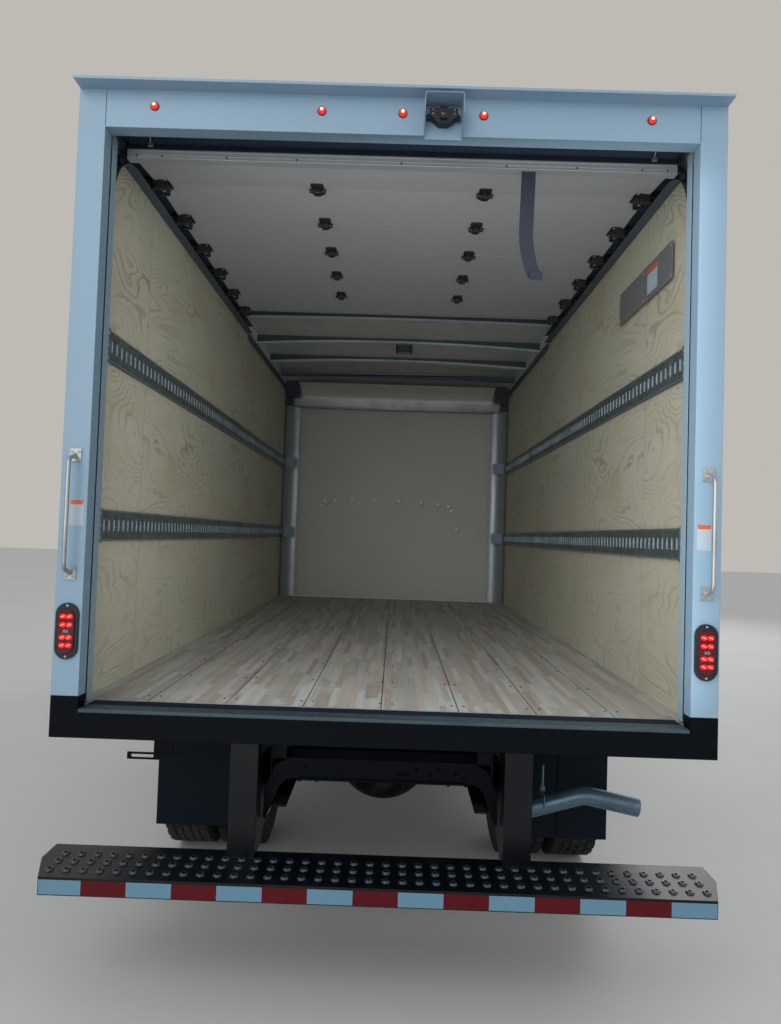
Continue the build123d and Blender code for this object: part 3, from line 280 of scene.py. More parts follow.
@dataclass(frozen=True)
class Zoned(Finish):
    """One finish, with another one inside boxes of the truck's space."""

    main: Finish = Finish("")
    other: Finish = Finish("")
    boxes: tuple[tuple[Triple, Triple], ...] = ()
    both_sides: bool = False

    def shader(self, recipe: Recipe) -> Wire:
        """Both finishes, chosen by place."""
        x, y, z = recipe.spot()
        axes = (x.size() if self.both_sides else x, y, z)
        inside: Wire | float = 0.0
        for low, high in self.boxes:
            share: Wire | float = 1.0
            for axis, near, far in zip(axes, low, high):
                share = axis.above(near) * axis.below(far) * share
            inside = share + inside
        first, second = self.main.shader(recipe), self.other.shader(recipe)
        return recipe.node("MixShader", {}, {0: inside.clipped(), 1: first, 2: second})


@dataclass(frozen=True)
class Arched(Finish):
    """A roof bow's zinc: its own pale colour along the arched lower lip, and a dark painted shade
    on the face over it.
    """

    lip: Finish = Finish("")
    painted_shade: Finish = Finish("")
    crown: float = 3.224
    half: float = 1.173
    lip_height: float = 0.014
    drop: float = 0.014
    more_drop: float = 0.024
    past_door: float = -0.5

    def shader(self, recipe: Recipe) -> Wire:
        """Both finishes, chosen by the height over the arch."""
        x, y, z = recipe.spot()
        drop = y.above(self.past_door) * self.more_drop + self.drop
        across = x / self.half
        rise = z + drop * across * across - self.crown
        # Over the lip the bow takes the painted shade.
        painted_shade, lip = self.painted_shade.shader(recipe), self.lip.shader(recipe)
        return recipe.node("MixShader", {}, {0: rise.below(self.lip_height), 1: painted_shade, 2: lip})


@dataclass(frozen=True)
class Enamel(Finish):
    """Paint on metal, with a slight tone drift, orange peel and dust towards the road."""

    colour: Colour = (0.8, 0.8, 0.8, 1)
    roughness: float = 0.32
    drift: float = 0.08
    dust: float = 0.25
    peel: float = 0.00012
    edge: float = 0.003
    coat: float = 0.0
    gloss: float = 0.5

    def surface(self, recipe: Recipe) -> dict:
        """Sockets of the surface shader."""
        height = recipe.spot()[2]
        cloud = recipe.noise(2.1, 4.0)
        speck = recipe.noise(95.0, 3.0)
        shade = shaded(self.colour, 1 - self.drift)
        low = recipe.span(height, 1.0, 0.15)
        clumps = recipe.span(recipe.noise(7.0, 6.0), 0.42, 0.75)
        dusty = (low * clumps + recipe.span(speck, 0.66, 0.8) * 0.3) * self.dust
        rough = recipe.noise(260.0, 2.0) + speck * 0.5
        toned = recipe.blended(cloud, self.colour, shade)
        return {
            "Base Color": recipe.blended(dusty.clipped(), toned, ink(150, 142, 130)),
            "Roughness": (self.roughness + (cloud - 0.5) * 0.12 + dusty * 0.4).clipped(),
            "Coat Weight": self.coat,
            "Coat Roughness": 0.08,
            "Specular IOR Level": self.gloss,
            "Normal": recipe.relief(rough, self.peel, 0.6, self.edge),
        }


@dataclass(frozen=True)
class BareMetal(Finish):
    """Uncoated metal: zinc spangle, mill streaks along one axis, and dull patches."""

    colour: Colour = (0.6, 0.6, 0.6, 1)
    roughness: float = 0.38
    spangle: float = 0.0
    streak: Triple = (90.0, 3.0, 90.0)
    tarnish: Colour = (0.2, 0.2, 0.2, 1)
    patch: float = 0.3
    metallic: float = 0.85
    edge: float = 0.0015

    def surface(self, recipe: Recipe) -> dict:
        """Sockets of the surface shader."""
        lines = recipe.noise(1.0, 3.0, recipe.stretched(self.streak))
        patches = recipe.span(recipe.noise(5.0, 6.0), 0.45, 0.75) * self.patch
        tone = lines * 0.5 + patches
        if self.spangle:
            cell = recipe.cells(1 / self.spangle, out="Color")
            tone = tone + recipe.axes(cell)[0] * 0.35
        return {
            "Base Color": recipe.blended(tone.clipped(), self.colour, self.tarnish),
            "Metallic": (self.metallic - patches * 0.5).clipped(),
            "Roughness": (self.roughness + lines * 0.14 + patches * 0.35).clipped(),
            "Normal": recipe.relief(lines, 0.0001, 0.5, self.edge),
        }


@dataclass(frozen=True)
class RotaryPly(Finish):
    """Rotary-cut pine veneer: rings drawn out along the panel over a fine grain."""

    light: Colour = ink(190, 191, 177)
    line: Colour = ink(126, 116, 92)
    seam_pitch: float = 1.22
    seam_start: float = -2.62

    def surface(self, recipe: Recipe) -> dict:
        """Sockets of the surface shader."""
        along, up = recipe.spot()[1:]
        sheet = ((along - self.seam_start) / self.seam_pitch).floor()
        drawn = recipe.vector(along * 0.85, up * 1.9, sheet * 7.3)
        swell = recipe.noise(1.25, 2.5, drawn, roughness=0.42, distortion=0.5)
        rings = (swell * 30.0 + recipe.noise(9.0, 3.0, drawn) * 1.1).fraction()
        bold = recipe.span(recipe.noise(1.6, 2.0, drawn), 0.38, 0.68)
        late = recipe.span(rings, 0.5,
                           0.9) * (1 - recipe.span(rings, 0.93, 1.0)) * (bold * 0.8 + 0.14)
        stain = recipe.span(recipe.noise(2.3, 4.0, drawn), 0.48, 0.78)
        fibre = recipe.noise(1.0, 5.0, recipe.stretched((60.0, 9.0, 150.0)))
        cloud = recipe.noise(1.1, 3.0, drawn)
        knot = recipe.span(recipe.cells(1.35, drawn), 0.02, 0.0)
        pale = recipe.blended((cloud * 0.6 + stain * 0.4).clipped(), self.light, ink(176, 166, 138))
        grained = recipe.blended((late * 0.6 + (fibre - 0.5) * 0.3).clipped(), pale, self.line)
        edge = ((along - self.seam_start) / self.seam_pitch).fraction()
        seam = edge.below(0.003)
        tone = recipe.blended((knot * 0.4 + seam * 0.45).clipped(), grained, ink(100, 80, 54))
        return {
            "Base Color": tone,
            "Roughness": (0.5 + fibre * 0.2 - late * 0.08).clipped(),
            "Normal": recipe.relief(fibre * 0.6 + late * 0.4 - seam * 2.0, 0.0004, 0.5, 0.001),
        }


@dataclass(frozen=True)
class StripBoards(Finish):
    """Laminated floor: glued strips of random tone and length, tongued into wide boards."""

    strip: float = 0.0275
    run: float = 0.46
    board: float = 0.3018
    first_joint: float = -0.614

    def surface(self, recipe: Recipe) -> dict:
        """Sockets of the surface shader."""
        across, along = recipe.spot()[:2]
        row = (across / self.strip).floor()
        shift = recipe.node("TexWhiteNoise", {"noise_dimensions": "1D"}, {"W": row})
        cell = ((along + shift * 3.1) / (self.run * (0.6 + shift * 0.8))).floor()
        tone, hue = (recipe.node("TexWhiteNoise", {}, {"Vector": spot})
                     for spot in (recipe.vector(row, cell), recipe.vector(cell, row, 4.0)))
        grain = recipe.noise(1.0, 5.0, recipe.node("Mapping", {}, {
            "Vector": recipe.vector(across, along, tone * 3.0), "Scale": (120.0, 5.0, 9.0)}))
        joint = ((across - self.first_joint) / self.board).fraction()
        gap = (joint.below(0.008) + joint.above(0.994)).clipped()
        cool = recipe.ramp(tone, (0.0, ink(150, 147, 141)), (0.45, ink(162, 163, 158)),
                           (1.0, ink(176, 180, 177)))
        warm = recipe.ramp(tone, (0.0, ink(150, 136, 126)), (0.5, ink(164, 156, 147)),
                           (1.0, ink(176, 173, 165)))
        wood = recipe.blended(recipe.span(hue, 0.35, 0.75), cool, warm)
        worn = recipe.blended(recipe.span(grain, 0.5, 0.78) * 0.38, wood, ink(108, 98, 90))
        scuff = recipe.span(recipe.noise(3.0, 7.0), 0.56, 0.72) * 0.25
        pale = recipe.blended(scuff, worn, ink(190, 194, 192))
        return {
            "Base Color": recipe.blended(gap, pale, ink(52, 38, 32)),
            "Roughness": (0.48 + grain * 0.16 + scuff * 0.5).clipped(),
            "Normal": recipe.relief(grain * 0.4 - gap * 2.0, 0.0006, 0.5, 0.0015),
        }


@dataclass(frozen=True)
class Rubber(Finish):
    """Black rubber with a bloom of road dust and moulding marks."""

    colour: Colour = ink(34, 34, 36)
    bloom: Colour = ink(92, 88, 82)
    dust: float = 0.35

    def surface(self, recipe: Recipe) -> dict:
        """Sockets of the surface shader."""
        broad = recipe.span(recipe.noise(3.2, 5.0), 0.36, 0.78)
        grain = recipe.noise(180.0, 3.0)
        return {
            "Base Color": recipe.blended(broad * self.dust + grain * 0.06, self.colour, self.bloom),
            "Roughness": (0.62 + broad * 0.25 - grain * 0.08).clipped(),
            "Specular IOR Level": 0.12,
            "Normal": recipe.relief(grain, 0.0003, 0.5, 0.002),
        }


@dataclass(frozen=True)
class Moulded(Finish):
    """Moulded plastic with a leather-like grain."""

    colour: Colour = ink(40, 41, 44)
    roughness: float = 0.55
    grain: float = 900.0
    edge: float = 0.004

    def surface(self, recipe: Recipe) -> dict:
        """Sockets of the surface shader."""
        cells = recipe.cells(self.grain)
        cloud = recipe.noise(6.0, 4.0)
        shade = shaded(self.colour, 0.72)
        return {
            "Base Color": recipe.blended(cloud, self.colour, shade),
            "Roughness": (self.roughness + (cloud - 0.5) * 0.16).clipped(),
            "Normal": recipe.relief(cells, 0.0002, 0.45, self.edge),
        }


@dataclass(frozen=True)
class Weave(Finish):
    """Woven cloth or webbing: threads over and under along a UV map or the truck's axes, each
    thread lighter on its crown and darker at its edges as painted highlight and shade.
    """

    colour: Colour = ink(20, 26, 38)
    light: Colour = ink(38, 47, 64)
    threads: tuple[float, float] = (26.0, 300.0)
    coordinate: str = "UV"

    def surface(self, recipe: Recipe) -> dict:
        """Sockets of the surface shader."""
        u, v, w = recipe.axes(recipe.node("TexCoord", out=self.coordinate))
        if self.coordinate == "Object":
            u, v = u + v * 0.7, w + v
        a, b = u * self.threads[0], v * self.threads[1]
        over = ((a.floor() + b.floor()) * 0.5).fraction().above(0.25)
        humps = (a.fraction() - 0.5).size() * over + (b.fraction() - 0.5).size() * (1 - over)
        cloud = recipe.noise(9.0, 4.0)
        # Light colour on the thread crowns, base colour where they dip: painted highlight and
        # shade.
        share = (1 - humps * 1.7) * (0.35 + cloud * 0.5)
        return {
            "Base Color": recipe.blended(share, self.colour, self.light),
            "Roughness": (0.72 + cloud * 0.15).clipped(),
            "Sheen Weight": 0.04,
            "Normal": recipe.relief(1 - humps * 2, 0.0006, 0.7),
        }


@dataclass(frozen=True)
class Pane(Finish):
    """Clear safety glass with a faint film."""

    tint: Colour = ink(214, 226, 226)

    def surface(self, recipe: Recipe) -> dict:
        """Sockets of the surface shader."""
        film = recipe.span(recipe.noise(4.0, 5.0), 0.45, 0.8)
        return {"Base Color": self.tint, "Transmission Weight": 1.0, "IOR": 1.45,
                "Roughness": 0.015 + film * 0.03}


@dataclass(frozen=True)
class Lens(Finish):
    """Moulded lamp lens with fine prisms behind a glossy face."""

    colour: Colour = ink(150, 12, 16)
    clear: float = 0.25
    pitch: float = 260.0
    gloss: float = 1.0

    def surface(self, recipe: Recipe) -> dict:
        """Sockets of the surface shader."""
        x, y, z = recipe.spot()
        prisms = ((x + y) * self.pitch).fraction() + (z * self.pitch).fraction()
        shade = shaded(self.colour, 0.55)
        return {
            "Base Color": recipe.blended((prisms * 0.5).clipped(), self.colour, shade),
            "Roughness": (0.12 + prisms * 0.03).clipped(),
            "Transmission Weight": self.clear,
            "Coat Weight": self.gloss,
            "Coat Roughness": 0.04,
            "Specular IOR Level": 0.3,
            "Normal": recipe.relief(prisms, 0.0004, 0.35, 0.002),
        }


@dataclass(frozen=True)
class Glow(Finish):
    """A lit diode whose light varies a little over its face."""

    colour: Colour = (1.0, 0.02, 0.02, 1)
    power: float = 6.0

    def surface(self, recipe: Recipe) -> dict:
        """Sockets of the surface shader."""
        flicker = recipe.noise(140.0, 2.0)
        dim = shaded(self.colour, 0.6)
        return {
            "Base Color": self.colour,
            "Emission Color": recipe.blended(flicker, self.colour, dim),
            "Emission Strength": self.power,
            "Roughness": 0.2,
        }


@dataclass(frozen=True)
class StripedTape(Finish):
    """Retro-reflective tape: white and red lengths in turn, with a honeycomb of fine cells."""

    start: float = -1.152
    length: float = 0.153

    def surface(self, recipe: Recipe) -> dict:
        """Sockets of the surface shader."""
        x, _, z = recipe.spot()
        red = (((x - self.start) / self.length).floor() * 0.5).fraction().above(0.25)
        skew = recipe.vector(x * 230.0, z * 230.0 + x * 115.0)
        cells = recipe.node("TexVoronoi", {"feature": "DISTANCE_TO_EDGE"},
                            {"Vector": skew, "Scale": 1.0, "Randomness": 0.0})
        wall = recipe.span(cells, 0.10, 0.02)
        white = recipe.blended(wall * 0.5, ink(108, 148, 172), ink(76, 104, 122))
        crimson = recipe.blended(wall * 0.5, ink(92, 5, 20), ink(58, 4, 13))
        return {
            "Base Color": recipe.blended(red, white, crimson),
            "Roughness": (0.28 + wall * 0.15).clipped(),
            "Metallic": 0.15,
            "Specular IOR Level": 0.2,
            "Coat Weight": 0.15,
            "Coat Roughness": 0.1,
            "Normal": recipe.relief(1 - wall, 0.0001, 0.5),
        }


@dataclass(frozen=True)
class Print(Finish):
    """Printed vinyl in one colour, with a little ink drift."""

    colour: Colour = (0.8, 0.8, 0.8, 1)

    def surface(self, recipe: Recipe) -> dict:
        """Sockets of the surface shader."""
        drift = recipe.noise(60.0, 3.0)
        shade = shaded(self.colour, 0.88)
        return {"Base Color": recipe.blended(drift, self.colour, shade),
                "Roughness": (0.3 + drift * 0.15).clipped(),
                "Normal": recipe.relief(drift, 0.00004, 0.4)}


@dataclass(frozen=True)
class Terrazzo(Finish):
    """Pale floor of the studio with small stone chips."""

    chips: float = 16.0

    def surface(self, recipe: Recipe) -> dict:
        """Sockets of the surface shader."""
        chance = recipe.axes(recipe.cells(self.chips, out="Color"))[0]
        stone = recipe.span(recipe.cells(self.chips), 0.016, 0.01) * chance.above(0.55)
        cloud = recipe.noise(0.7, 5.0)
        base = recipe.blended(cloud, ink(214, 213, 211), ink(203, 202, 200))
        return {"Base Color": recipe.blended(stone * 0.7, base, ink(176, 158, 140)),
                "Roughness": 0.55 + cloud * 0.1}


class Wear:
    """The truck's finishes by the place that wears them."""

    # The rear frame's white paint is written as a darker, bluish white: painted shade and sky tint
    # on a white as pale as the body's.
    WHITE_SHADED = Enamel("frame_white", ink(141, 170, 192), roughness=0.36, drift=0.05, dust=0.06)
    BODY = Enamel("sheet_white", ink(205, 212, 218), roughness=0.3, drift=0.05, dust=0.16)
    CAB = Enamel("cab_white", ink(208, 213, 217), roughness=0.22, drift=0.03, dust=0.16, coat=0.6,
                 edge=0.006)
    BUMPER = Enamel("bumper_white", ink(196, 200, 203), roughness=0.3, drift=0.04, dust=0.3,
                    edge=0.006)
    BLACK = Enamel("frame_black", ink(8, 14, 21), roughness=0.42, drift=0.3, dust=0.02, gloss=0.08)
    CHASSIS = Enamel("chassis_enamel", ink(15, 18, 23), roughness=0.5, drift=0.35, dust=0.15,
                     gloss=0.1)
    IRON = BareMetal("cast_iron", ink(104, 104, 106), 0.6, patch=0.6, tarnish=ink(60, 54, 50),
                     metallic=0.6)
    DOOR_SKIN = Enamel("door_enamel", ink(164, 167, 171), roughness=0.45, drift=0.06, dust=0.03)
    RIM = Enamel("rim_enamel", ink(206, 207, 206), roughness=0.35, drift=0.06, dust=0.5)
    ZINC = BareMetal("zinc_track", ink(146, 158, 162), 0.42, spangle=0.02, tarnish=ink(84, 96, 100))
    BRIGHT = BareMetal("bright_zinc", ink(196, 208, 212), 0.3, spangle=0.012,
                       tarnish=ink(140, 154, 160))
    DARK_ZINC = BareMetal("door_track", ink(96, 102, 108), 0.45, spangle=0.03,
                          tarnish=ink(44, 48, 54))
    ALUMINIUM = BareMetal("aluminium", ink(196, 200, 203), 0.34, streak=(120.0, 120.0, 2.0),
                          tarnish=ink(120, 124, 128))
    RAIL = BareMetal("door_rail", ink(186, 192, 196), 0.4, streak=(2.0, 150.0, 150.0),
                     tarnish=ink(122, 128, 132),
                     metallic=0.6)
    ROOF = BareMetal("roof_skin_sheet", ink(206, 208, 206), 0.42, streak=(2.0, 40.0, 40.0),
                     tarnish=ink(166, 168, 168),
                     metallic=0.3)
    EXHAUST = BareMetal("exhaust_pipe", ink(112, 140, 160), 0.28, streak=(3.0, 60.0, 60.0),
                        tarnish=ink(52, 70, 84),
                        patch=0.5)
    STEEL = BareMetal("handle_bar", ink(196, 200, 202), 0.28, streak=(80.0, 80.0, 6.0),
                      tarnish=ink(116, 120, 122))
    TANK = Enamel("tank_black", ink(36, 38, 41), roughness=0.3, drift=0.2, dust=0.35)
    VENEER = RotaryPly("pine_ply")
    PANEL = Enamel("front_panel", ink(172, 172, 166), roughness=0.5, drift=0.05, dust=0.03)
    BOARDS = StripBoards("floor_boards")
    TYRE = Rubber("tyre_black")
    FLAP = Rubber("mud_flap_rubber", ink(10, 20, 30), ink(20, 34, 46), 0.4)
    SEAL = Rubber("seal_rubber", ink(24, 31, 45), ink(40, 49, 66), 0.3)
    # A lighter copy of the seal rubber for the door's top seal, which sits in shade: painted light.
    TOP_SEAL_LIT = Rubber("top_seal_rubber", ink(58, 70, 90), ink(76, 90, 112), 0.3)
    PLASTIC = Moulded("black_plastic")
    GREY_PLASTIC = Moulded("grey_plastic", ink(96, 98, 101), 0.6)
    HINGE = Moulded("hinge_black", ink(30, 32, 36), 0.45, 500.0, 0.001)
    GLASS = Pane("cab_glass")
    RED_LENS = Lens("red_lens", ink(104, 8, 24), 0.1, gloss=0.2)
    HOUSING = Moulded("lamp_housing", ink(13, 22, 31), 0.5)
    AMBER_LENS = Lens("amber_lens", ink(214, 112, 16))
    CLEAR_LENS = Lens("clear_lens", ink(226, 232, 236), 0.85)
    RED_GLOW = Glow("red_diode", (1.0, 0.001, 0.006, 1), 1.8)
    HOT_GLOW = Glow("marker_diode", (1.0, 0.22, 0.08, 1), 14.0)
    WEBBING = Weave("strap_webbing")
    SEAT = Weave("seat_cloth", ink(62, 64, 70), ink(104, 107, 114), (260.0, 260.0), "Object")
    TAPE = StripedTape("reflective_tape")
    WHITE_PRINT = Print("blank_label", ink(176, 192, 204))
    ORANGE_PRINT = Print("label_bar", ink(214, 98, 52))
    GREY_PLATE = Print("grey_plate", ink(112, 114, 116))
    MIRROR = BareMetal("mirror_glass", ink(226, 230, 232), 0.04, patch=0.05, metallic=1.0,
                       tarnish=ink(206, 210, 212))
    # Near-black for the bottoms of holes, punchings and slots: painted shade standing for the dark
    # inside them.
    PIT_SHADE = Moulded("hole_painted_shade", ink(4, 5, 7), 0.85)
    TREAD = BareMetal("tread_plate", ink(88, 104, 116), 0.5, streak=(3.0, 90.0, 90.0),
                      tarnish=ink(44, 54, 62),
                      metallic=0.5)
    MARKER_GLOW = Glow("marker_dome", (1.0, 0.007, 0.006, 1), 3.5)
    LENS_GLASS = Lens("camera_glass", ink(14, 18, 30), 0.2)
    WEBBING_PLAIN = Weave("fold_webbing", threads=(900.0, 900.0), coordinate="Object")
    CHIP = Glow("diode_core", (1.0, 0.26, 0.18, 1), 1.2)
    STEP_BLACK = Enamel("step_black", ink(8, 14, 21), roughness=0.3, drift=0.3, dust=0.02,
                        gloss=0.28)
    STEP = Zoned("step_enamel", STEP_BLACK, TAPE,
                 (((-1.143, -FAR, 0.380), (1.143, -3.4795, 0.429)),))
    DOOR_RAIL = Zoned("door_with_rail", DOOR_SKIN, RAIL,
                      (((-FAR, -FAR, 3.0), (FAR, -3.1001, 3.1405)),))
    DOOR_SEAL = Zoned("door_with_seal", DOOR_RAIL, SEAL,
                      (((-FAR, -FAR, 3.1405), (FAR, -3.1001, 3.3)),))
    DOOR = Zoned("door_with_rollers", DOOR_SEAL, HINGE, (((1.102, -FAR, 0.0), (FAR, FAR, FAR)),),
                 True)
    # Lighter copy of the track colour for the near part of each track's leg: painted light.
    GUIDE_LIT = Enamel("guide_painted_light", ink(152, 178, 194), roughness=0.4, drift=0.1, dust=0.02,
                   edge=0.0015)
    PLY = Zoned("wall_and_panel", VENEER, PANEL, (((-FAR, 1.5205, 0.0), (FAR, FAR, FAR)),))
    TAIL_LAMP = Zoned("tail_lamp", RED_LENS, HOUSING, (((-FAR, -3.3092, 0.0), (FAR, FAR, FAR)),))
    # The camera hood wears the painted-shade white, with the camera's black inside the box.
    CAMERA = Zoned("camera_pod", WHITE_SHADED, HINGE, (((0.098, -FAR, 3.150), (0.206, -3.3035, 3.2135)),))
    # Dark copy of the track colour for the door track's level run overhead: painted shade. The nose
    # header and the lining rails wear it too.
    TRACK_SHADED = Enamel("level_track", ink(66, 80, 94), roughness=0.4, drift=0.35, dust=0.0,
                         edge=0.0015)
    TRACK_LEG = Enamel("track_leg", ink(116, 134, 148), roughness=0.4, drift=0.15, dust=0.02,
                       edge=0.0015)
    # Painted shade on the tracks above 2.93 m, the lighter track colour below.
    DOOR_TRACK = Zoned("track_pair", TRACK_SHADED, TRACK_LEG,
                       (((-FAR, -FAR, 0.0), (FAR, FAR, 2.93)),))
    BOW_LIP = BareMetal("bow_lip", ink(170, 184, 188), 0.4, streak=(2.0, 90.0, 90.0),
                        tarnish=ink(120, 134, 138),
                        metallic=0.3)
    # Dark colour for the bow's face over its lip, which stands in shade: painted shade.
    BOW_PAINTED_SHADE = Enamel("bow_painted_shade", ink(52, 60, 66), roughness=0.5, drift=0.2, dust=0.0,
                        edge=0.0015)
    BOWS = Arched("roof_bow_zinc", BOW_LIP, BOW_PAINTED_SHADE)
    NOSE = BareMetal("nose_sheet", ink(208, 209, 204), 0.4, streak=(2.0, 60.0, 60.0),
                     tarnish=ink(164, 164, 158),
                     patch=0.1, metallic=0.2)
    COVE = BareMetal("cove_sheet", ink(160, 168, 172), 0.34, streak=(60.0, 60.0, 2.0),
                     tarnish=ink(118, 128, 134),
                     patch=0.1, metallic=0.5)
    SLOT = Print("slot_light", ink(196, 214, 224))
    # Lighter, glossier copy of the step's black for the upper slopes of its buttons: painted
    # highlight.
    STUD_HIGHLIGHT = Enamel("stud_rim", ink(44, 58, 74), roughness=0.28, drift=0.3, dust=0.0, edge=0.0015,
                  gloss=0.6)
    GUSSET = Enamel("nose_gusset", ink(30, 38, 56), roughness=0.45, drift=0.25, dust=0.0)


NODE_FINISHES: dict[Finish, str] = {
    Wear.WHITE_SHADED: "rear_posts rear_header",
    Wear.BODY: "side_walls front_wall",
    Wear.CAB: "cab_front cab_roof cab_back cab_sides cab_floor cab_door_right cab_door_left",
    Wear.BUMPER: "front_bumper",
    Wear.BLACK: "rear_sill plate_bracket frame_cross_members",
    Wear.STEP: "step_bumper",
    Wear.CHASSIS: "frame_rails rear_axle propeller_shaft leaf_springs front_axle_beam "
                  "steering_knuckle_right steering_knuckle_left longsills body_cross_members "
                  "battery_box cab_steps",
    Wear.IRON: "engine_block",
    Wear.DOOR: "roll_up_door",
    Wear.RIM: "front_rim_right front_rim_left rear_rims_right rear_rims_left",
    Wear.ZINC: "cargo_tracks",
    Wear.DOOR_TRACK: "door_tracks",
    Wear.BOWS: "roof_bows",
    Wear.ROOF: "roof_skin",
    Wear.EXHAUST: "exhaust",
    Wear.STEEL: "grab_handles",
    Wear.TANK: "fuel_tank",
    Wear.PLY: "wall_linings",
    Wear.BOARDS: "load_floor",
    Wear.TYRE: "front_tyre_right front_tyre_left rear_tyres_right rear_tyres_left",
    Wear.FLAP: "mud_flaps",
    Wear.PLASTIC: "mirrors grille dashboard steering_wheel",
    Wear.CAMERA: "camera_hood",
    Wear.GLASS: "door_glass_right door_glass_left cab_glass",
    Wear.TAIL_LAMP: "tail_lamps",
    Wear.RED_LENS: "marker_lamps",
    Wear.CLEAR_LENS: "headlamps",
    Wear.SEAT: "seats",
    Wear.WEBBING: "pull_strap",
}


class Pick(Enum):
    """What an edit works on."""

    FACE = "FACE"
    EDGE = "EDGE"
    POINT = "VERT"


def clear_selection() -> None:
    """Go to object mode with nothing selected."""
    if bpy.context.mode != "OBJECT":
        bpy.ops.object.mode_set(mode="OBJECT")
    bpy.ops.object.select_all(action="DESELECT")


def box_between(low: Triple, high: Triple) -> tuple[Vector, Vector]:
    """Middle and size of the box between two corners."""
    a, b = Vector(low), Vector(high)
    return (a + b) / 2, Vector(abs(part) for part in b - a)


class Piece:
    """A mesh piece, modelled in place from a primitive and then dressed."""

    def __init__(self, name: str, adder: Callable, **settings: object) -> None:
        """Add a primitive at its size and place, with its origin at the truck's."""
        clear_selection()
        adder(**settings)
        self.shape = bpy.context.active_object
        self.shape.name = self.shape.data.name = name
        bpy.ops.object.transform_apply(location=True, rotation=True, scale=True)

    @classmethod
    def block(cls, name: str, low: Triple, high: Triple) -> Piece:
        """A box between two corners."""
        middle, size = box_between(low, high)
        return cls(name, bpy.ops.mesh.primitive_cube_add, size=1, location=middle, scale=size)

    @classmethod
    def rod(cls, name: str, start: Triple, end: Triple, radius: float, sides: int = 20,
            tip: float | None = None) -> Piece:
        """A round bar between two points, tapered where a tip radius is given."""
        a, b = Vector(start), Vector(end)
        turn = (b - a).to_track_quat("Z", "Y").to_euler()
        return cls(name, bpy.ops.mesh.primitive_cone_add, vertices=sides, radius1=radius,
                   radius2=radius if tip is None else tip, depth=(b - a).length,
                   location=(a + b) / 2, rotation=turn)

    @classmethod
    def ring(cls, name: str, centre: Triple, facing: Triple, radius: float, thickness: float,
             sides: int = 32) -> Piece:
        """A round ring whose axis faces a direction."""
        turn = Vector(facing).to_track_quat("Z", "Y").to_euler()
        return cls(name, bpy.ops.mesh.primitive_torus_add, major_radius=radius,
                   minor_radius=thickness,
                   major_segments=sides, minor_segments=8, location=centre, rotation=turn)

    def grasp(self) -> None:
        """Select the piece alone, in object mode."""
        clear_selection()
        self.shape.select_set(True)
        bpy.context.view_layer.objects.active = self.shape

    def pick(self, test: Test, what: Pick = Pick.FACE) -> Piece:
        """Select in edit mode the elements whose place and direction pass a test."""
        self.grasp()
        bpy.ops.object.mode_set(mode="EDIT")
        bpy.ops.mesh.select_mode(type=what.value)
        bpy.ops.mesh.select_all(action="DESELECT")
        mesh = bmesh.from_edit_mesh(self.shape.data)
        mesh.normal_update()
        if what is Pick.FACE:
            found = [face for face in mesh.faces if test(face.calc_center_median(), face.normal)]
        elif what is Pick.EDGE:
            ends = [(edge, edge.verts[0].co, edge.verts[1].co) for edge in mesh.edges]
            found = [edge for edge, start, end in ends
                     if test((start + end) / 2, (end - start).normalized())]
        else:
            found = [point for point in mesh.verts if test(point.co, point.normal)]
        for element in found:
            element.select_set(True)
        mesh.select_flush_mode()
        bmesh.update_edit_mesh(self.shape.data)
        return self

    def everything(self) -> Piece:
        """Select the whole mesh in edit mode."""
        return self.pick(lambda place, way: True)

    def inset(self, width: float, depth: float = 0.0) -> Piece:
        """Inset the selected faces, and push them in or out."""
        bpy.ops.mesh.inset(thickness=width, depth=depth)
        return self

    def extrude(self, shift: Triple) -> Piece:
        """Extrude the selection by a shift."""
        bpy.ops.mesh.extrude_region_move(TRANSFORM_OT_translate={"value": shift})
        return self

    def bevel(self, width: float, segments: int = 2) -> Piece:
        """Bevel the selected edges."""
        bpy.ops.mesh.bevel(offset=width, segments=segments, affect="EDGES")
        return self

    def move(self, shift: Triple) -> Piece:
        """Move the selection."""
        bpy.ops.transform.translate(value=shift)
        return self

    def resize(self, factors: Triple, centre: Triple) -> Piece:
        """Scale the selection about a point."""
        bpy.ops.transform.resize(value=factors, center_override=centre)
        return self

    def turn(self, angle: float, axis: str, centre: Triple) -> Piece:
        """Turn the selection about an axis through a point, in degrees."""
        bpy.ops.transform.rotate(value=math.radians(angle), orient_axis=axis,
                                 center_override=centre)
        return self

    def delete(self) -> Piece:
        """Delete the selected faces."""
        bpy.ops.mesh.delete(type="FACE")
        return self

    def cut(self, place: Triple, normal: Triple) -> Piece:
        """Bisect the selection with a plane."""
        bpy.ops.mesh.bisect(plane_co=place, plane_no=normal)
        return self

    def modify(self, kind: str, **settings: object) -> Piece:
        """Add a modifier and apply it."""
        self.grasp()
        bpy.ops.object.modifier_add(type=kind)
        modifier = self.shape.modifiers[-1]
        for key, value in settings.items():
            setattr(modifier, key, value)
        bpy.ops.object.modifier_apply(modifier=modifier.name)
        return self

    def rounded(self, width: float, segments: int = 2) -> Piece:
        """Round every sharp edge."""
        return self.modify("BEVEL", width=width, segments=segments, limit_method="ANGLE")

    def mirrored(self) -> Piece:
        """Add the same shape on the truck's other side."""
        return self.modify("MIRROR", use_mirror_merge=False)

    def copy(self, name: str, matrix: Matrix | None = None) -> Piece:
        """A copy with its own mesh, moved by a matrix."""
        clear_selection()
        twin = object.__new__(Piece)
        twin.shape = self.shape.copy()
        twin.shape.data = self.shape.data.copy()
        twin.shape.name = twin.shape.data.name = name
        twin.shape.data.transform(matrix or Matrix.Identity(4))
        if matrix and matrix.determinant() < 0:
            twin.shape.data.flip_normals()
        bpy.context.scene.collection.objects.link(twin.shape)
        return twin

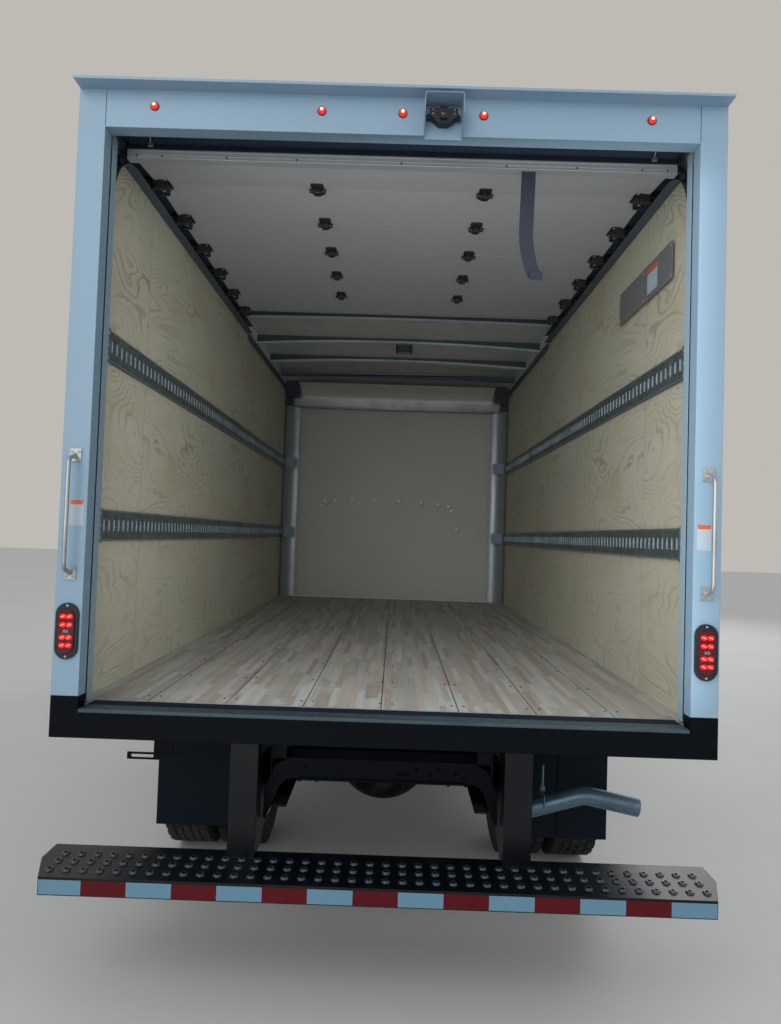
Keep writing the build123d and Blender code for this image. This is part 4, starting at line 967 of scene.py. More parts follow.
    def joined(self, others: Iterable[Piece]) -> Piece:
        """Take other pieces into this one."""
        self.grasp()
        for other in others:
            other.shape.select_set(True)
        bpy.ops.object.join()
        return self

    def scattered(self, places: Iterable[Matrix | Triple]) -> Piece:
        """Replace the piece by one copy for each shift or matrix, joined together."""
        clear_selection()
        moves = [place if isinstance(place, Matrix) else Matrix.Translation(place)
                 for place in places]
        rest = [self.copy(f"{self.shape.name}.{index}", move) for index,
                move in enumerate(moves[1:])]
        self.shape.data.transform(moves[0])
        return self.joined(rest)

    def discard(self) -> None:
        """Remove the piece from the scene."""
        self.grasp()
        bpy.ops.object.delete()

    def clean(self) -> Piece:
        """Merge doubled points and point every face outwards."""
        self.pick(lambda place, way: True, Pick.POINT)
        bpy.ops.mesh.remove_doubles(threshold=0.00001)
        bpy.ops.mesh.normals_make_consistent(inside=False)
        return self

    def wear(self, finish: Finish, test: Test | None = None) -> Piece:
        """Give the whole piece a finish, or only the faces that pass a test."""
        clear_selection()
        if test is None:
            self.shape.data.materials.clear()
        self.shape.data.materials.append(finish.material())
        if test is not None:
            index = len(self.shape.data.materials) - 1
            for face in self.shape.data.polygons:
                if test(face.center, face.normal):
                    face.material_index = index
        return self

    def fitted(self, body: str = "chassis", slot: str | None = None, stands_for: Iterable[str] = (),
               smooth: float = 35.0) -> Piece:
        """Shade the piece, let it ride on a body, and hide the parts it stands for."""
        self.grasp()
        bpy.ops.object.shade_smooth_by_angle(angle=math.radians(smooth))
        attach(self.shape, body)
        if stands_for:
            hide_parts(*stands_for)
        LOG.info("%s: %d faces on %s", self.shape.name, len(self.shape.data.polygons), body)
        return self

    def done(self, finish: Finish, body: str = "chassis", **more: object) -> Piece:
        """Give the whole piece a finish and fit it to a body."""
        return self.wear(finish).fitted(body, **more)


@dataclass
class RearDatum:
    """Places on the load body, measured from its rear face and from the underside of its sill."""

    rear_y: float = field(init=False)
    sill_z: float = field(init=False)

    def __post_init__(self) -> None:
        """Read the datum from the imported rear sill."""
        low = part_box("rear_sill")[0]
        self.rear_y, self.sill_z = low.y, low.z

    def at(self, x: float, y: float, z: float) -> Vector:
        """Point in metres for millimetres to the right, forward and up."""
        return Vector((x * MM, self.rear_y + y * MM, self.sill_z + z * MM))


BACK = (0, -1, 0)
DOWN = (0, 0, -1)
TOP: Test = lambda place, way: way.z > 0.9
UNDER: Test = lambda place, way: way.z < -0.9
REAR: Test = lambda place, way: way.y < -0.9
RIGHT: Test = lambda place, way: way.x > 0.9
LEFT: Test = lambda place, way: way.x < -0.9
ENDS: Test = lambda place, way: abs(way.x) > 0.9


def sunk(level: float) -> Test:
    """Test for the faces that look up from under a level."""
    return lambda place, way: way.z > 0.9 and place.z < level


def facing(place: Vector | Triple, way: Triple, roll: float = 0.0) -> Matrix:
    """Matrix that stands a piece, modelled upright at the origin, on a place and turns its top."""
    stand = Vector(way).to_track_quat("Z", "Y").to_matrix().to_4x4()
    return Matrix.Translation(place) @ stand @ Matrix.Rotation(math.radians(roll), 4, "Z")


def bolt(name: str, radius: float) -> Piece:
    """A hexagon head on its washer, standing on the origin."""
    washer = Piece.rod(name, (0, 0, -0.2 * radius), (0, 0, 0.22 * radius), radius * 1.35, 12)
    head = Piece.rod(f"{name}_head", (0, 0, 0.1 * radius), (0, 0, 0.85 * radius), radius, 6)
    head.pick(TOP).inset(radius * 0.12, radius * 0.1)
    return washer.joined([head])


def rivet(name: str, radius: float) -> Piece:
    """A domed rivet head, standing on the origin."""
    head = Piece.rod(name, (0, 0, -0.2 * radius), (0, 0, 0.25 * radius), radius, 10)
    head.pick(TOP).inset(0.25 * radius, 0.22 * radius).inset(0.3 * radius, 0.1 * radius)
    return head


def screw(name: str, radius: float) -> Piece:
    """A pan-head screw with a drive recess, standing on the origin."""
    head = Piece.rod(name, (0, 0, -0.2 * radius), (0, 0, 0.4 * radius), radius, 12)
    head.pick(TOP).inset(0.2 * radius,
                         0.15 * radius).inset(0.4 * radius).extrude((0, 0, -0.35 * radius))
    return head


def dome(name: str, radius: float, height: float, sides: int = 20) -> Piece:
    """A dome on a short skirt, standing on the origin."""
    piece = Piece.rod(name, (0, 0, 0), (0, 0, height * 0.3), radius, sides)
    piece.pick(TOP)
    for step in range(4):
        near, far = step * math.pi / 8.6, (step + 1) * math.pi / 8.6
        piece.inset(radius * (math.cos(near) - math.cos(far)),
                    height * 0.7 * (math.sin(far) - math.sin(near)))
    return piece


def eyelet(name: str, radius: float, length: float, lip: float) -> Piece:
    """A raised oval lip round a dark hole, standing on the origin with its length along Y."""
    piece = Piece.rod(name, (0, 0, -lip), (0, 0, lip), radius, 12, tip=radius * 0.9)
    reach = length / 2 - radius
    piece.pick(lambda place, way: place.y > 1e-6, Pick.POINT).move((0, reach, 0))
    piece.pick(lambda place, way: place.y < -1e-6, Pick.POINT).move((0, -reach, 0))
    piece.pick(TOP).inset(radius * 0.28).extrude((0, 0, -lip * 0.9))
    return piece


def plate(name: str, low: Triple, high: Triple, corner: float, edge: float = 0.6) -> Piece:
    """A thin plate between two corners.

    Args:
        name: its name.
        low: its corner in metres.
        high: the opposite corner.
        corner: radius round the thinnest axis, in millimetres.
        edge: width of its softened edges, in millimetres, or 0 for sharp ones.

    Returns:
        The plate.
    """
    size = Vector(high) - Vector(low)
    thin = min(range(3), key=lambda index: abs(size[index]))
    piece = Piece.block(name, low, high)
    piece.pick(lambda place, way: abs(way[thin]) > 0.9, Pick.EDGE).bevel(corner * MM, 4)
    return piece.rounded(edge * MM, 1) if edge else piece


def label(piece: Piece, front: Test, bar: Vector, rim: float = 0.0) -> None:
    """Print a plate as a blank label, with a plain bar over a height.

    Args:
        piece: the label's plate.
        front: test for its printed side.
        bar: a point on the bar's lower edge.
        rim: width of its raised face's border.
    """
    piece.pick(front)
    if rim:
        piece.inset(rim, 0.1 * MM)
    piece.cut(bar, (0, 0, 1)).wear(Wear.WHITE_PRINT)
    piece.wear(Wear.ORANGE_PRINT, lambda place, way: front(place, way) and place.z > bar.z).fitted()


@dataclass
class Trim:
    """A set of small pieces placed on the load body's datum."""

    datum: RearDatum

    def build(self) -> None:
        """Make the pieces."""
        raise NotImplementedError


@dataclass
class StepTrim(Trim):
    """Raised, pierced buttons on top of the step bumper."""

    rows: tuple[float, ...] = (-9.0, -67.0, -129.0)
    columns: int = 40
    first_x: float = -1130.0
    top: float = -412.0

    def build(self) -> None:
        """Make one button and repeat it."""
        button = Piece.rod("step_buttons", (0, 0, -0.001), (0, 0, 0.0065), 0.0165, 14, tip=0.0112)
        button.pick(TOP).inset(0.0036).extrude((0, 0, -0.0065))
        # The bottoms of the button holes are painted shade.
        button.wear(Wear.STEP).wear(Wear.PIT_SHADE, sunk(0.001))
        # The buttons' upper slopes take the painted highlight.
        button.wear(Wear.STUD_HIGHLIGHT, lambda place, way: way.z > 0.2 and place.z > 0.001)
        pitch = -2 * self.first_x / (self.columns - 1)
        spread = [self.datum.at(self.first_x + pitch * column, row, self.top)
                  for row in self.rows for column in range(self.columns)]
        button.scattered(spread).fitted()


@dataclass
class SillTrim(Trim):
    """Tread strip with its punched rows, keeper slots and seal strip over the sill."""

    half: float = 1116.0
    top: float = 104.0

    def build(self) -> None:
        """Make the strips and what is punched in them."""
        at, half, top = self.datum.at, self.half, self.top
        strip = Piece.block("sill_strip", at(-half, -1.2, top), at(half, 71, top + 1.2))
        strip.pick(UNDER)
        strip.cut(at(0, 1.2, top), (0, 1, 0))
        strip.pick(lambda place, way: way.z < -0.9
                   and place.y < at(0, 1.0, 0).y).extrude((0, 0, -11 * MM))
        strip.rounded(0.9 * MM).done(Wear.TREAD)
        punched = Piece.rod("sill_punching", (0, 0, -0.0005), (0, 0, 0.0013), 0.0085, 12,
                            tip=0.0068)
        punched.pick(TOP).inset(0.0012).extrude((0, 0, -0.0012))
        # The bottoms of the punchings are painted shade.
        punched.wear(Wear.TREAD).wear(Wear.PIT_SHADE, sunk(0.0008))
        spread = [at(-1100 + 50.8 * (column + 0.5 * row), 43 - 23 * row, top + 1.2)
                  for row in range(2) for column in range(44) if row == 0
                  or not -2 < column - 21.5 < 2]
        punched.scattered(spread).fitted()
        seal = Piece.block("sill_seal", at(-half, 71.5, top), at(half, 141, top + 0.9))
        seal.pick(TOP).inset(0.006, 0.0006)
        seal.done(Wear.SEAL)
        edge = Piece.block("floor_edge", at(-half, 141.5, top), at(half, 150, top + 1.6))
        edge.rounded(0.6 * MM).done(Wear.ALUMINIUM)
        for index, (near, far) in enumerate(((-92, -11), (29, 110))):
            slot = plate(f"keeper_slot_{index}", at(near, 50, top + 1), at(far, 63, top + 1.9), 6,
                         0)
            slot.pick(TOP).inset(1.4 * MM).extrude((0, 0, -0.6 * MM))
            # The bottoms of the keeper slots are painted shade.
            slot.wear(Wear.TREAD).wear(Wear.PIT_SHADE, sunk(at(0, 0, top + 1.6).z))
            slot.fitted()


@dataclass
class FrameTrim(Trim):
    """Weld seams of the rear frame, its blank labels and the screws of its handles."""

    handle_x: float = 1168.5
    handle_ends: tuple[float, float] = (588.0, 1048.0)

    def build(self) -> None:
        """Make the seams, the labels and the screws."""
        at = self.datum.at
        seams = Piece.rod("frame_seams", at(1118, -0.1, 2286), at(1118, -0.1, 2424), 0.9 * MM, 8)
        low_seam = Piece.rod("frame_seams_foot", at(1119, -0.1, 151), at(1218, -0.1, 151), 0.9 * MM,
                             8)
        seams.joined([low_seam]).mirrored().rounded(0.3 * MM, 1).done(Wear.SEAL)
        for index, (x, z, half) in enumerate(((-1156, 822, 26), (1156, 806, 26))):
            low, high = at(x - half, -0.5, z - 47), at(x + half, 0.2, z + 47)
            label(plate(f"post_label_{index}", low, high, 4, 0), REAR, at(0, 0, z + 31), 2 * MM)
        screws = screw("handle_screws", 6 * MM)
        spread = [facing(at(side * self.handle_x + shift, -5, height), BACK) for side in SIDES
                  for height in self.handle_ends for shift in (-13, 13)]
        screws.scattered(spread).done(Wear.STEEL)


@dataclass
class RearLamps(Trim):
    """Lit diodes, screws and chips on the tail lamps, and lit domes over the marker lamps."""

    markers: tuple[float, ...] = (-934.0, -304.0, 0.0, 304.0, 934.0)
    lamp_x: float = 1168.5
    lamp_z: float = 388.0

    def build(self) -> None:
        """Make the lamps of both sides and the row on the header."""
        at = self.datum.at
        lamp_x, lamp_z = self.lamp_x, self.lamp_z
        places = [at(side * lamp_x + column, -15, lamp_z + height)
                  for side in SIDES for column in (-12, 12) for height in (54, 23.5, -22, -51)]
        blob = dome("lamp_diodes", 10 * MM, 2.4 * MM, 14)
        blob.everything().resize((1.15, 0.85, 1), (0, 0, 0))
        blob.scattered([facing(place, BACK) for place in places]).done(Wear.RED_GLOW)
        streak = plate("lamp_streaks", (-0.0075, -0.0016, 0.0019), (0.0075, 0.0016, 0.0028), 1.3, 0)
        streak.scattered([facing(place, BACK, 24 if place.x < 0 else 156) for place in places])
        streak.done(Wear.CHIP)
        screws = screw("lamp_screws", 4.5 * MM)
        screws.scattered([facing(at(side * lamp_x, -9, lamp_z + rise), BACK) for side in SIDES
                          for rise in (-93, 93)]).done(Wear.STEEL)
        chip = plate("lamp_chips", (-0.011, -0.007, 0), (0.011, 0.007, 0.0012), 2, 0)
        dots = rivet("lamp_dots", 2.2 * MM)
        dots.scattered([(-0.005, 0, 0.0012), (0.005, 0, 0.0012)]).wear(Wear.STEEL)
        chip.wear(Wear.CLEAR_LENS).joined([dots])
        chip.scattered([facing(at(side * lamp_x, -15, lamp_z), BACK) for side in SIDES]).fitted()
        stands = [facing(at(x, 0, 2361), BACK) for x in self.markers]
        base = Piece.rod("marker_bases", (0, 0, 0.0001), (0, 0, 0.004), 17 * MM, 28, tip=16 * MM)
        base.pick(TOP).inset(2.5 * MM, -1 * MM)
        base.scattered(stands).done(Wear.PLASTIC)
        lens = dome("marker_domes", 12 * MM, 14 * MM)
        lens.scattered(stands).done(Wear.MARKER_GLOW, stands_for=["marker_lamps"])
        core = dome("marker_cores", 5.5 * MM, 2.2 * MM, 12)
        lifted = [facing(at(x, -12.6, 2363), BACK) for x in self.markers]
        core.scattered(lifted).done(Wear.HOT_GLOW)


@dataclass
class CameraTrim(Trim):
    """Lens, top bump, wings and screws of the reversing camera under its hood."""

    def build(self) -> None:
        """Make the lens, the bump, the wings and the screws."""
        at = self.datum.at
        lens = Piece.rod("camera_lens", at(152, -51.5, 2335), at(152, -54.5, 2335), 12.5 * MM, 28,
                         tip=11.5 * MM)
        lens.pick(REAR).inset(2.2 * MM, -1.2 * MM).inset(3 * MM, 1.6 * MM).inset(3 * MM, 0.8 * MM)
        middle = at(152, -54.5, 2335)
        lens.wear(Wear.PLASTIC)
        lens.wear(Wear.LENS_GLASS, lambda place, way: (place - middle).xz.length < 8 * MM)
        lens.fitted()
        bump = plate("camera_bump", at(138, -36, 2361), at(166, -8, 2374), 5, 1)
        bump.done(Wear.HINGE)
        wings = Piece.block("camera_wings", at(92, -30, 2328), at(212, -10, 2344))
        wings.pick(ENDS).inset(2 * MM, 3 * MM)
        wings.rounded(1.5 * MM).done(Wear.HINGE)
        screws = screw("camera_screws", 3 * MM)
        spread = [facing(at(x, -40, z), BACK) for x in (112, 192) for z in (2341, 2355)]
        screws.scattered(spread).done(Wear.STEEL)


@dataclass
class DoorTrim(Trim):
    """Hinges, roller carriers, rail fittings, seal, cables and strap of the roll-up door."""

    joints: tuple[float, ...] = (513.0, 858.0, 1203.0, 1548.0, 1893.0)
    under: float = 2326.0

    def build(self) -> None:
        """Make the door's fittings in the raised place."""
        at, under = self.datum.at, self.under
        leaf = plate("door_hinges", (-0.029, -0.056, -0.006), (0.029, -0.004, 0), 15, 1)
        other = plate("door_hinges_far", (-0.029, 0.004, -0.006), (0.029, 0.056, 0), 15, 1)
        hump = plate("door_hinges_hump", (-0.017, -0.020, -0.030), (0.017, 0.020, -0.004), 8, 3)
        barrel = Piece.rod("door_hinges_pin", (-0.037, 0, -0.014), (0.037, 0, -0.014), 9 * MM, 14)
        heads = rivet("door_hinges_heads", 7 * MM)
        heads.scattered([facing((x, y, -0.006), DOWN) for x in (-0.014, 0.014)
                         for y in (-0.036, 0.036)])
        leaf.joined([other, hump, barrel.rounded(0.8 * MM), heads])
        leaf.scattered([at(x, y, under) for y in self.joints for x in (-375, 375)]).done(Wear.HINGE)
        arm = plate("roller_carriers", (0.006, -0.050, -0.006), (0.058, 0.050, 0), 15, 1)
        hump = plate("roller_carrier_hump", (0.014, -0.028, -0.036), (0.054, 0.024, -0.004), 10, 4)
        ears = plate("roller_carrier_ears", (0.026, -0.042, -0.042), (0.074, -0.032, -0.002), 6, 2)
        ears.scattered([(0, 0, 0), (-0.008, 0.066, 0)])
        stem = Piece.rod("roller_carrier_stem", (0.020, 0, -0.024), (0.096, 0, -0.024), 7 * MM, 14)
        arm.joined([hump, ears, stem.rounded(1 * MM)]).wear(Wear.HINGE)
        heads = rivet("roller_carrier_heads", 5.5 * MM)
        places = ((0.020, 0.038, -0.006), (0.046, 0.042, -0.006), (0.034, -0.004, -0.036),
                  (0.020, -0.042, -0.006))
        heads.scattered([facing(place, DOWN) for place in places])
        arm.joined([heads.wear(Wear.STEEL)])
        rows = (*self.joints, 2232.0)
        spread = [Matrix.Translation(at(1030, y, under)) for y in rows]
        arm.scattered(spread + [FLIP @ move for move in spread]).fitted()
        self.rail()
        self.strap()

    def rail(self) -> None:
        """Make the bottom rail's ridges and screws, the seal in a lightened rubber as painted
        light, the tracks' faces in a lightened track colour as painted light, and the cables.
        """
        at = self.datum.at
        ridge = plate("rail_ridges", at(-1098, 167.6, 2254), at(1098, 170, 2258.5), 1, 0.8)
        ridge.scattered([(0, 0, 0), (0, 0, 12 * MM), (0, 0, 29 * MM)]).done(Wear.RAIL)
        lip = plate("rail_lip", at(-1099, 160, 2249.5), at(1099, 200, 2252.2), 2, 0.8)
        lip.done(Wear.RAIL)
        screws = screw("rail_screws", 4 * MM)
        spread = [facing(at(x, 168.5, 2264), BACK)
                  for x in (-1060, -960, -700, -420, 0, 420, 700, 960, 1060)]
        spread += [facing(at(x, 215, 2292.5), DOWN) for x in (-1078, -1040, -380, 300, 1010, 1040)]
        screws.scattered(spread).done(Wear.DARK_ZINC)
        # The top seal wears the lightened seal rubber: painted light.
        flap = plate("top_seal", at(-1098, 178, 2296), at(1098, 181, 2352), 4)
        flap.done(Wear.TOP_SEAL_LIT)
        # A strip in the lighter copy of the track colour over the near part of each track's inner
        # face: painted light.
        guide = plate("track_guides", at(1121.5, 82, 112), at(1124, 127, 2300), 4)
        guide.mirrored().done(Wear.GUIDE_LIT)
        cable = Piece.rod("lift_cables", at(1007, 176, 2308), at(1012, 120, 2398), 1.6 * MM, 8)
        clip = plate("lift_cable_clip", at(996, 166, 2300), at(1018, 169, 2316), 3)
        cable.joined([clip]).rounded(0.3 * MM, 1).mirrored().done(Wear.STEEL)

    def strap(self) -> None:
        """Make the pull strap as a band of webbing that kinks and ends in a fold."""
        at = self.datum.at
        path = [(510, 181, 2262), (510, 178, 2252), (509, 176, 2190), (507, 174, 2120),
                (505, 172, 2050),
                (504, 174, 1990), (509, 178, 1940), (519, 181, 1900), (530, 180, 1860),
                (542, 176, 1822),
                (545, 171, 1812)]
        middle = at(510, 181, 2040)
        band = Piece("strap_band", bpy.ops.mesh.primitive_grid_add, x_subdivisions=4,
                     y_subdivisions=len(path) - 1, size=1, location=middle,
                     rotation=(math.pi / 2, 0, 0))
        band.everything().resize((0.058, 1, 0.4), middle)
        top, pitch = middle.z + 0.2, 0.4 / (len(path) - 1)
        rows = [top - index * pitch for index in range(len(path))]
        for place, height in reversed(list(zip(path, rows))):
            goal = at(*place)
            band.pick(lambda spot, way: abs(spot.z - height) < 0.0005
                      and abs(spot.y - middle.y) < 1e-5, Pick.POINT)
            band.move(goal - Vector((middle.x, middle.y, height)))
        band.modify("SOLIDIFY", thickness=1.8 * MM, offset=0)
        band.modify("SUBSURF", levels=1, render_levels=1)
        band.done(Wear.WEBBING, stands_for=["pull_strap"])
        fold = plate("strap_fold", at(520, 166.5, 1808), at(571, 170, 1846), 2, 0.8)
        fold.everything().turn(-8, "Y", at(545, 170, 1812))
        fold.done(Wear.WEBBING_PLAIN)


@dataclass
class CargoTrim(Trim):
    """Slots of the cargo tracks, their end brackets and rivets."""

    rows: tuple[float, ...] = (780.0, 1508.0)
    face_x: float = 1160.7
    pitch: float = 50.8
    count: int = 89

    def build(self) -> None:
        """Make one slot and repeat it along both walls."""
        at, face_x, low = self.datum.at, self.face_x, self.rows[0]
        step = (0, 0, (self.rows[1] - low) * MM)
        slot = eyelet("track_slots", 9 * MM, 58 * MM, 2 * MM)
        slot.wear(Wear.ZINC).wear(Wear.SLOT, sunk(0.0005))
        spread = [facing(at(side * face_x, 255 + self.pitch * index, row), (-side, 0, 0))
                  for side in SIDES for row in self.rows for index in range(self.count)]
        slot.scattered(spread).fitted()
        lips = plate("track_lips", at(face_x - 2, 212, low + 57), at(face_x + 1, 4800, low + 62), 1,
                     0.8)
        lips.scattered([(0, 0, 0), (0, 0, -119 * MM), (0, 0, 728 * MM), (0, 0, 609 * MM)])
        lips.mirrored().done(Wear.BRIGHT)
        bracket = plate("track_ends", at(face_x - 3, 204, low - 70), at(face_x + 12, 232, low + 70),
                        6, 1)
        heads = rivet("track_end_rivets", 5 * MM)
        heads.scattered([facing(at(face_x - 3, 218, low + rise), (-1, 0, 0))
                         for rise in (-50, 0, 50)])
        bracket.joined([heads]).scattered([(0, 0, 0), step]).mirrored().done(Wear.BRIGHT)


@dataclass
class HoldTrim(Trim):
    """Fittings inside the load space, from the front beam to the floor's screws."""

    panel_y: float = 4819.0

    def build(self) -> None:
        """Make the fittings."""
        at, y = self.datum.at, self.panel_y
        beam = Piece.block("front_beam", at(-1085, y - 26, 2110), at(1085, y, 2206))
        beam.pick(REAR).inset(0.001).cut(at(0, y, 2124), (0, 0, 1))
        beam.pick(lambda place, way: way.y < -0.9
                  and place.z < at(0, 0, 2122).z).extrude((0, -14 * MM, 0))
        beam.rounded(1.5 * MM).done(Wear.ALUMINIUM)
        heads = rivet("panel_rivets", 5 * MM)
        dots = [(x, z) for x in (-1004, 1000) for z in range(180, 2060, 150)]
        dots += [(-930, 190), (890, 190), (-890, 540), (-890, 720), (-870, 880), (900, 540),
                 (900, 720), (900, 880)]
        heads.scattered([facing(at(x, y, z), BACK) for x, z in dots]).done(Wear.HINGE)
        washer = bolt("panel_washers", 13 * MM)
        arc = [(-762, 1075), (-728, 1120), (-622, 1128), (-440, 1144), (-208, 1144), (56, 1144),
               (290, 1136), (470, 1120), (580, 1104), (612, 1060), (672, 860)]
        washer.scattered([facing(at(x, y, z), BACK) for x, z in arc]).done(Wear.SLOT)
        self.nose()
        kick = plate("kick_strip", at(-1100, y - 4, 105), at(1100, y, 118), 2, 1)
        kick.done(Wear.WHITE_PRINT)
        plank = plate("wall_plate", at(1157, 353, 1905), at(1160.5, 1037, 2070), 2, 1)
        corner = rivet("wall_plate_rivets", 5 * MM)
        corner.scattered([facing(at(1157, along, height), (-1, 0, 0)) for along in (372, 695, 1018)
                          for height in (1922, 2053)]).wear(Wear.BRIGHT)
        plank.wear(Wear.GREY_PLATE).joined([corner]).fitted()
        sticker = plate("wall_sticker", at(1156.4, 520, 1930), at(1157.2, 640, 2046), 3, 0)
        label(sticker, LEFT, at(0, 0, 2022))
        lamp = plate("load_lamp", at(-18, 3120, 2296), at(118, 3206, 2352), 16, 3)
        lamp.pick(UNDER).inset(12 * MM, 3 * MM).inset(8 * MM, -2 * MM)
        middle = at(50, 0, 0).x
        lamp.wear(Wear.HINGE)
        lamp.wear(Wear.CLEAR_LENS, lambda place, way: way.z < -0.95
                  and abs(place.x - middle) < 0.045)
        lamp.fitted()
        top_rail = plate("lining_rails", at(1157, 2790, 2262), at(1161, 4700, 2312), 2, 1)
        spots = rivet("lining_rail_rivets", 4 * MM)
        spots.scattered([facing(at(1157, along, 2288), (-1, 0, 0))
                         for along in range(2850, 4700, 150)])
        # The lining rails wear the painted-shade track colour.
        top_rail.joined([spots]).mirrored().done(Wear.TRACK_SHADED)
        screws = screw("floor_screws", 5 * MM)
        lines = [x + shift for x in (-915, -614, -307, 9, 295, 596, 905) for shift in (-24, 24)]
        screws.scattered([at(x, along, 103.6) for along in range(240, 4800, 406) for x in lines])
        screws.done(Wear.DARK_ZINC)

    def nose(self) -> None:
        """Make the curved nose panel, its header and gussets, the coves and the track bridges."""
        at, y = self.datum.at, self.panel_y
        centre = at(0, y - 8, 2206)
        sheet = Piece.rod("nose_panel", centre - Vector((1.012, 0.30, 0)),
                          centre + Vector((1.012, -0.30, 0)), 0.115, 64)
        middle = centre - Vector((0, 0.30, 0))
        sheet.pick(lambda place, way: abs(way.x) > 0.9 or place.y < middle.y
                   or place.z < middle.z).delete()
        sheet.everything().resize((1, 2.6, 1), middle)
        sheet.modify("SOLIDIFY", thickness=1.6 * MM, offset=-1).done(Wear.NOSE)
        header = plate("nose_header", at(-1152, 4205, 2318), at(1152, 4245, 2372), 3, 1.5)
        header.pick(REAR).inset(10 * MM, -2 * MM)
        # The nose header wears the painted-shade track colour.
        header.done(Wear.TRACK_SHADED)
        gusset = plate("nose_gussets", at(1014, y - 210, 2180), at(1156, y - 204, 2352), 12, 1)
        block = plate("nose_gussets_block", at(1090, y - 150, 2120), at(1156, y - 60, 2196), 4, 2)
        gusset.joined([block]).mirrored().done(Wear.GUSSET)
        reach = 0.127
        shift = Vector((reach, reach, 0))
        low, high = at(1157, y, 106) - shift, at(1157, y, 2180) - shift
        cove = Piece.rod("corner_coves", low, high, reach, 64)
        cove.pick(lambda place, way: abs(way.z) > 0.9 or place.x < low.x
                  or place.y < low.y).delete()
        cove.modify("SOLIDIFY", thickness=1.6 * MM, offset=-1).mirrored().done(Wear.COVE)
        bridge = plate("track_bridges", at(1026, y - 132, 728), at(1140, y - 129, 834), 5, 0.8)
        dot = rivet("track_bridge_rivets", 6 * MM).scattered([facing(at(1040, y - 132, 781), BACK)])
        bridge.wear(Wear.TRACK_LEG).joined([dot.wear(Wear.HINGE)])
        bridge.scattered([(0, 0, 0), (0, 0, 728 * MM)]).mirrored().fitted()


@dataclass
class Tread:
    """Tyres with ribs of blocks over moulded walls; one form stands on all six places."""

    radius: float = 0.400
    half: float = 0.111
    bead: float = 0.266
    steps: int = 96
    lug: float = 0.0095
    lug_foot: float = 0.011
    rib_pitch: float = 0.037
    wall: tuple[tuple[float, float], ...] = (
        (0.016, 0.006), (0.020, 0.004), (0.004, -0.002), (0.005, 0.0), (0.004, 0.002),
        (0.034, -0.006), (0.012, -0.004), (0.006, 0.003), (0.016, -0.007), (0.008, -0.012))

    def tyre(self) -> Piece:
        """Model a tyre about the X axis at the origin."""
        base = self.radius - self.lug_foot
        body = Piece.rod("tyre_form", (-self.half + 0.010, 0, 0), (self.half - 0.010, 0, 0), base,
                         self.steps)
        for x in (-0.062, -0.054, -0.024, -0.017, 0.017, 0.024, 0.054, 0.062):
            body.everything().cut((x, 0, 0), (1, 0, 0))

        def on_block(place: Vector, way: Vector) -> bool:
            if abs(way.x) > 0.5 or any(low < abs(place.x) < low + 0.008 for low in (0.017, 0.054)):
                return False
            rib = round(place.x / self.rib_pitch)
            step = int((math.atan2(place.z, place.y) / (2 * math.pi) * self.steps) % self.steps)
            return (step + rib) % 3 != 0

        body.pick(on_block).inset(0.0016, self.lug)
        for side in SIDES:
            body.pick(lambda place, way: way.x * side > 0.99 and abs(place.x) > self.half - 0.012)
            for width, depth in self.wall:
                body.inset(width, depth)
            body.delete()
        body.pick(lambda place, way: math.hypot(place.y, place.z) < self.bead + 0.012, Pick.EDGE)
        bpy.ops.mesh.select_non_manifold(extend=False, use_wire=False, use_boundary=True,
                                         use_multi_face=False, use_non_contiguous=False,
                                         use_verts=False)
        bpy.ops.mesh.bridge_edge_loops()
        return body.clean()

    def build(self) -> None:
        """Put the tyres on their rims."""
        form = self.tyre()
        seats = {"front_tyre_right": ("front_wheel_right", [(0.835, FRONT_AXLE)]),
                 "front_tyre_left": ("front_wheel_left", [(-0.835, FRONT_AXLE)]),
                 "rear_tyres_right": ("rear_wheels_right",
                                      [(0.692, REAR_AXLE), (0.946, REAR_AXLE)]),
                 "rear_tyres_left": ("rear_wheels_left",
                                     [(-0.692, REAR_AXLE), (-0.946, REAR_AXLE)])}
        for node, (body, places) in seats.items():
            moves = [Matrix.Translation((x, y, AXLE_Z)) @ Matrix.Rotation(index * 0.9, 4, "X")
                     for index, (x, y) in enumerate(places)]
            twin = form.copy(f"{node}_tread", moves[0])
            if len(moves) > 1:
                twin.joined([form.copy(f"{node}_second", moves[1])])
            twin.done(Wear.TYRE, body, stands_for=[node])
        form.discard()


@dataclass
class WheelTrim:
    """Nuts, hub caps and valves of the wheels."""

    nuts: int = 8
    circle: float = 0.131

    def build(self) -> None:
        """Make one set and put it on both sides of both axles."""
        nut = bolt("wheel_nuts", 14 * MM)
        turns = [2 * math.pi * index / self.nuts for index in range(self.nuts)]
        spread = [(0, self.circle * math.cos(turn), self.circle * math.sin(turn)) for turn in turns]
        nut.scattered([facing(place, (1, 0, 0)) for place in spread])
        nut.wear(Wear.BRIGHT)
        cap = dome("hub_caps", 40 * MM, 12 * MM, 24)
        cap.scattered([facing((0, 0, 0), (1, 0, 0))]).wear(Wear.STEEL)
        stem = Piece.rod("valves", (-0.004, 0.206, 0.026), (0.026, 0.190, 0.024), 4.5 * MM, 10,
                         tip=3.5 * MM)
        stem.rounded(0.8 * MM, 1).wear(Wear.TYRE)
        for end, y, disc, hub in (("front", FRONT_AXLE, 0.8662, 0.9295),
                                  ("rear", REAR_AXLE, 0.8302, 0.9135)):
            for side, way in (("right", 1), ("left", -1)):
                body = f"front_wheel_{side}" if end == "front" else f"rear_wheels_{side}"
                flip = Matrix.Identity(4) if way > 0 else FLIP
                for piece, x in ((nut, disc), (cap, hub), (stem, disc)):
                    place = flip @ Matrix.Translation((x, y, AXLE_Z))
                    piece.copy(f"{end}_{piece.shape.name}_{side}", place).fitted(body)
        for piece in (nut, cap, stem):
            piece.discard()


